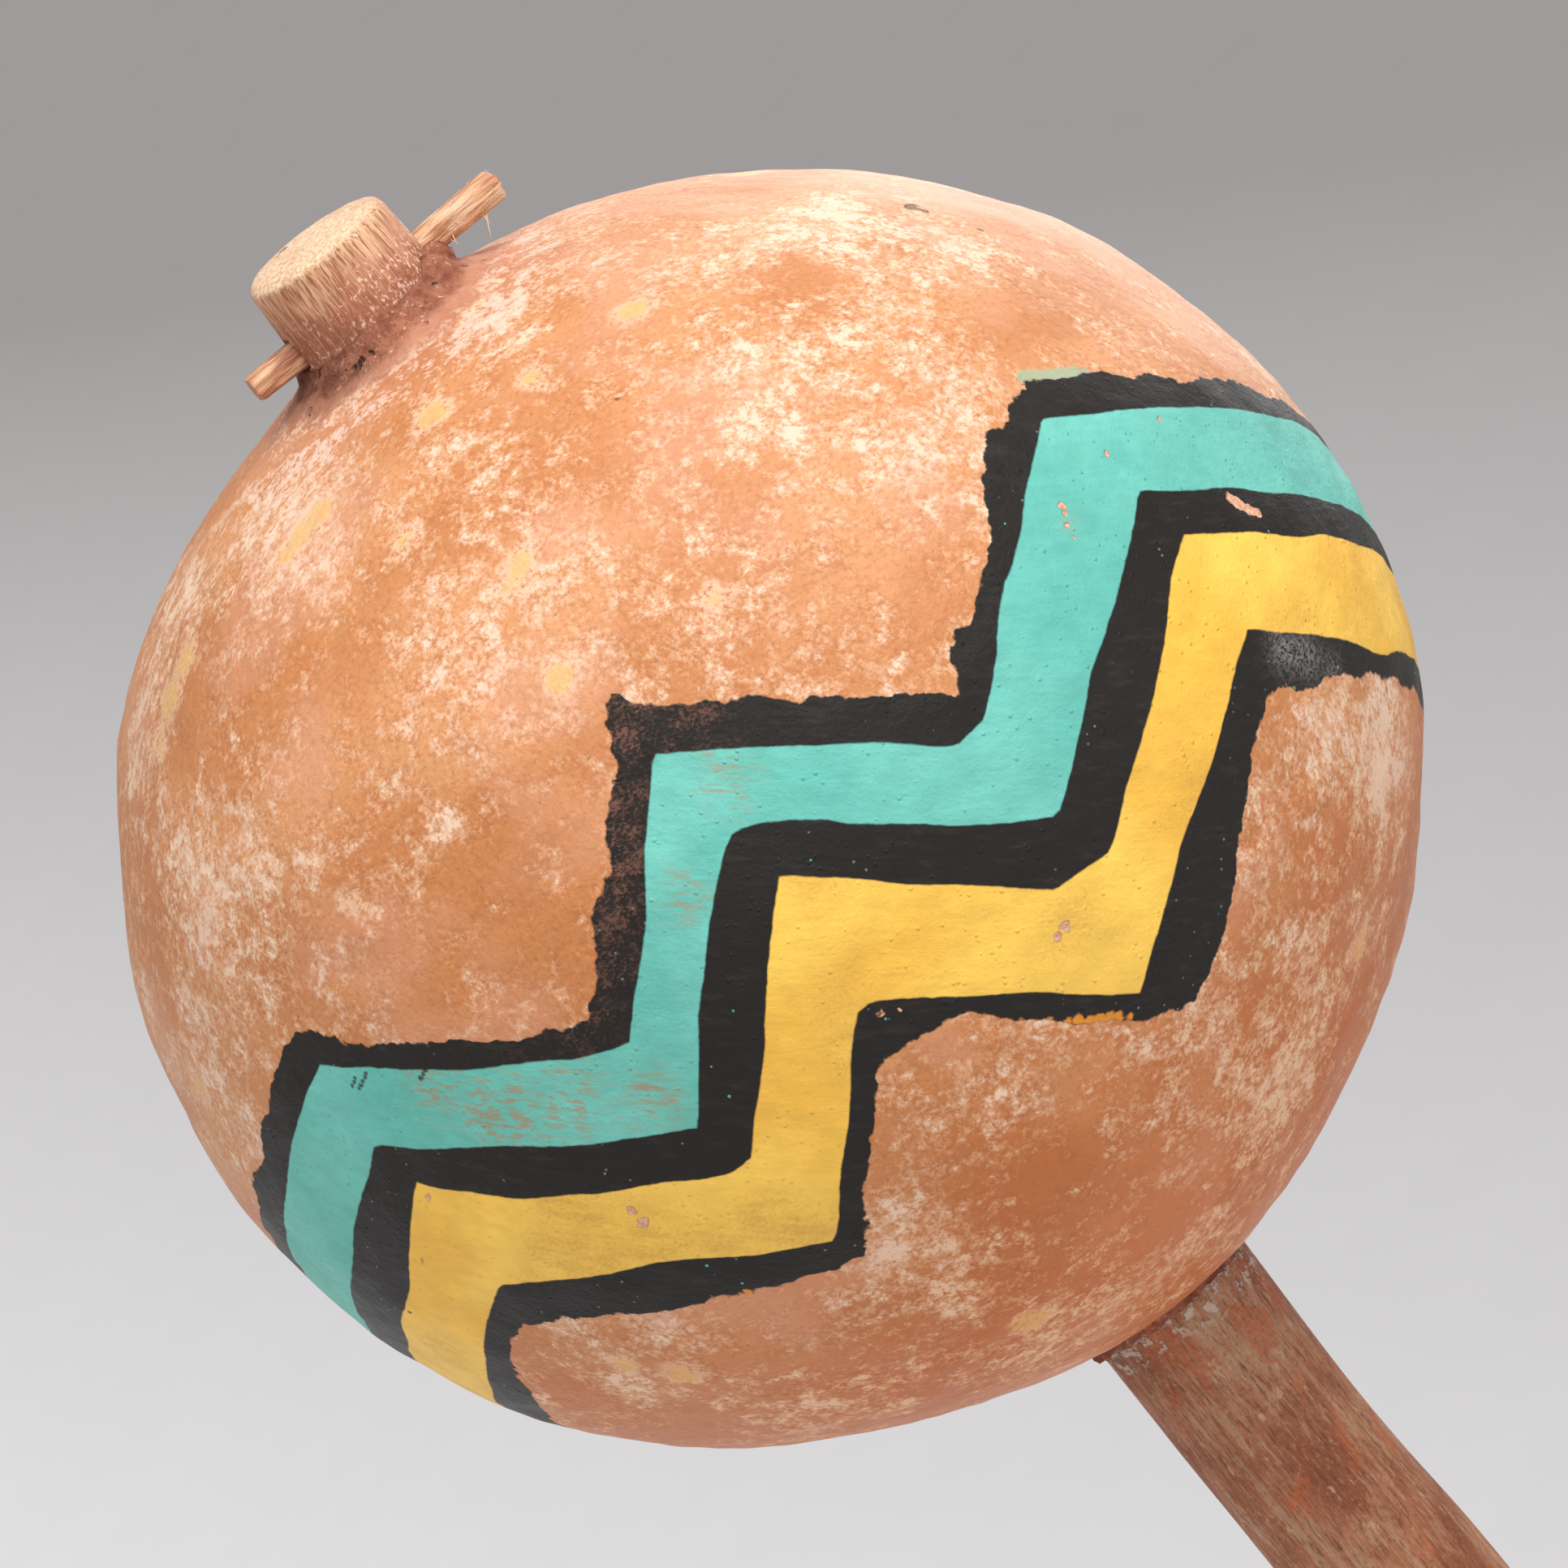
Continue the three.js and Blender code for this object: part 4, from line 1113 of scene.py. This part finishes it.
# Splinters on the peg: [start, heading, length, width, bend]. A start is [back from the thick end,
# sideways, up] and the rest are [along, sideways, up], in mm.
PEG_SPLINTERS = (
    ((3.5, -1.3, -1.6), (-0.55, -0.25, -0.8), 2.8, 0.3, (0.1, 0, -0.3)),
    ((3.9, -1.4, -1.5), (-0.3, -0.7, -0.9), 1.3, 0.18, (0.3, 0, -0.3)),
    ((8, -1.7, -0.9), (-0.5, -0.9, -0.5), 1.6, 0.17, (0.2, 0.2, -0.4)),
    ((7.5, -1.7, -0.4), (-0.7, -0.9, 0.2), 1.8, 0.15, (0.1, -0.2, 0.3)),
    ((7, -1.7, 0), (0.6, -0.9, -0.4), 1.4, 0.15, (0, -0.1, -0.3)),
    ((8.6, -1.6, -1.2), (0.3, -0.5, -1), 1.3, 0.16, (0.1, 0, 0.2)),
    ((2.2, -1.7, -0.2), (1, -0.3, 0.12), 1.5, 0.24, (0, -0.1, 0.1)),
    ((1.6, -1.6, 0.5), (1, -0.25, 0.1), 1.2, 0.2, (0, -0.1, 0)),
    ((1.6, -1.6, -0.8), (1, -0.2, -0.2), 1.2, 0.22, (0.1, 0, -0.1)),
    ((1, -0.6, 1.5), (1, -0.1, 0.25), 0.9, 0.22, (0, 0, 0.1)),
    ((1, 0.5, 1.5), (1, 0.05, 0.2), 0.9, 0.24, (0, 0.1, 0.1)),
    ((1, 1.4, 0.2), (1, 0.2, 0.1), 0.9, 0.22, (0, 0.1, 0)),
    ((6.2, -1.2, 1.6), (0.9, -0.1, 0.35), 1.4, 0.16, (0, 0, 0.2)),
    ((3.2, 0.8, 1.7), (0.9, 0, 0.3), 1.3, 0.16, (0, 0, 0.1)),
)


def make_splinters():
    points, faces, count = [], [], 0
    for (back, side, above), *shape in PEG_SPLINTERS:
        more_points, more_faces = splinter((PEG_END - back, side, above), *shape)
        points.append(more_points)
        faces += [tuple(index + count for index in face) for face in more_faces]
        count += len(more_points)
    fibres = new_object("peg_splinters", peg_frame(np.concatenate(points)), faces, [splinter_wood()])
    on_body(fibres, "peg", "peg_wood")


# ---------------------------------------------------------------- the clay joints

def gourd_height(radius):
    """The gourd's top surface at a distance from the stick."""
    return GOURD_CENTRE + GOURD_HALF_HEIGHT * math.sqrt(1 - (radius / GOURD_RADIUS) ** 2)


def make_top_paste():
    columns = 160
    bore = ROD_RADIUS - 0.25
    over = [(19, -0.45), (17, -0.05), (15.2, 0.18), (13.8, 0.42), (12.6, 0.8), (11.6, 1.25)]
    profile = [(radius, gourd_height(radius) + lift) for radius, lift in over]
    profile += [(10.8, GOURD_TOP + 1.6), (10.2, GOURD_TOP + 2.3), (9.8, GOURD_TOP + 2.9),
                (bore, GOURD_TOP + 3)]
    visible = subdivided(profile, 0.5)
    hidden = [(bore, gourd_height(bore) - 0.5), (13, gourd_height(13) - 0.9),
              (18.4, gourd_height(18.4) - 1.1)]
    rings = turned_rings(visible + hidden, columns)
    points = np.concatenate(rings)
    moving = np.repeat([1.0] * len(visible) + [0.0] * len(hidden), columns)
    rise = np.clip((points[:, 2] - GOURD_TOP + 1.2) / 3, 0, 1)
    lumps = 0.16 * ripple(points, 6, 31) + 0.1 * ripple(points, 2.4, 32)
    lumps += 0.05 * ripple(points, 1.1, 33, waves=40)
    points = points + outward(points) * (moving * rise * lumps)[:, None]
    points[:, 2] += moving * rise * (0.35 * ripple(points * (1, 1, 0), 6, 35) + 0.04 * points[:, 0])
    points[:, 2] += moving * (1 - rise) * 0.07 * ripple(points, 5, 37)
    paste = new_object("clay_collar", points, ring_faces(len(rings), columns, closed=True), [])
    lump_profile = [(5, 3.0), (8, 3.05), (9.6, 3.0), (10.4, 2.8), (11.0, 2.45), (11.5, 1.95), (11.9, 1.2)]
    outline = np.array([(math.cos(t), math.sin(t)) for t in np.linspace(0, 2 * math.pi, 48, endpoint=False)])
    rings = peg_rings(outline, *zip(*lump_profile))
    lump_points, lump_faces = capped_rings(rings)
    lump_points[:, 1:] *= 1 + 0.06 * ripple(lump_points, 4, 36)[:, None]
    lump_points[:, 2] -= 1.6
    lump = new_object("peg_lump", peg_frame(lump_points), lump_faces, [])
    apply_boolean(paste, lump, "UNION")
    apply_boolean(paste, peg_passage(), "DIFFERENCE")
    paste.data.materials.clear()
    paste.data.materials.append(collar_clay())
    on_body(paste, "rattle", "clay_paste", "top_paste")


def make_bottom_paste():
    columns = 200
    low, high = SHOULDER - 1.5, GOURD_BOTTOM + 1.4
    profile = [(9.3, low + 1.2), (10.2, low + 0.2), (10.7, low), (11.0, low + 0.5), (11.2, low + 1.3),
               (11.3, high - 0.6), (11.0, high), (9.3, high)]
    rings = turned_rings(profile, columns)
    points = np.concatenate(rings)
    moving = np.repeat([0.3, 1, 1, 1, 1, 1, 0.4, 0], columns)
    crumbs = 0.16 * ripple(points, 3.2, 41, waves=40) + 0.14 * ripple(points, 1.3, 42, waves=48)
    crumbs += 0.5 * np.clip(-points[:, 0] / 10, 0, 1)
    points = points + outward(points) * (moving * crumbs)[:, None]
    points[:, 2] += moving * 0.16 * ripple(points * (1, 1, 0), 2.2, 43, waves=40)
    hanging = np.clip((SHOULDER + 1 - points[:, 2]) / 2, 0, 1) * (points[:, 0] / 12) ** 2
    points[:, 2] -= hanging * (0.7 + 0.3 * ripple(points * (1, 1, 0), 5, 44))
    crust = new_object("clay_crust", points, ring_faces(len(rings), columns, closed=True), [crust_clay()])
    on_body(crust, "rattle", "clay_crust", "bottom_paste")


# ---------------------------------------------------------------- the pebbles

def make_pebbles():
    """Each loose stone: a rounded, lumpy body inside its own CAD stone's box."""
    stone = pebble_stone()
    latitudes = np.linspace(-0.49 * math.pi, 0.49 * math.pi, 26)
    columns = 40
    unit = np.concatenate(turned_rings([(math.cos(t), math.sin(t)) for t in latitudes], columns))
    for serial, node in enumerate(sorted(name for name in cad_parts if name.startswith("pebble_"))):
        low, high = (np.array(corner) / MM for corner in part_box(node))
        lumps = 0.93 + 0.035 * ripple(unit, 1.9, 60 + serial)
        lumps += 0.012 * ripple(unit, 0.7, 80 + serial, waves=32)
        points = unit * np.minimum(lumps, 1)[:, None] * (high - low) / 2 + (high + low) / 2
        points, faces = capped_rings(points.reshape(len(latitudes), columns, 3))
        pebble = new_object(f"stone_{node}", points, faces, [stone])
        on_body(pebble, f"{node}_body", "pebble_stone", node)


make_camera()
make_lights()
make_floor()
make_gourd()
make_stick()
make_peg()
make_splinters()
make_top_paste()
make_bottom_paste()
make_pebbles()
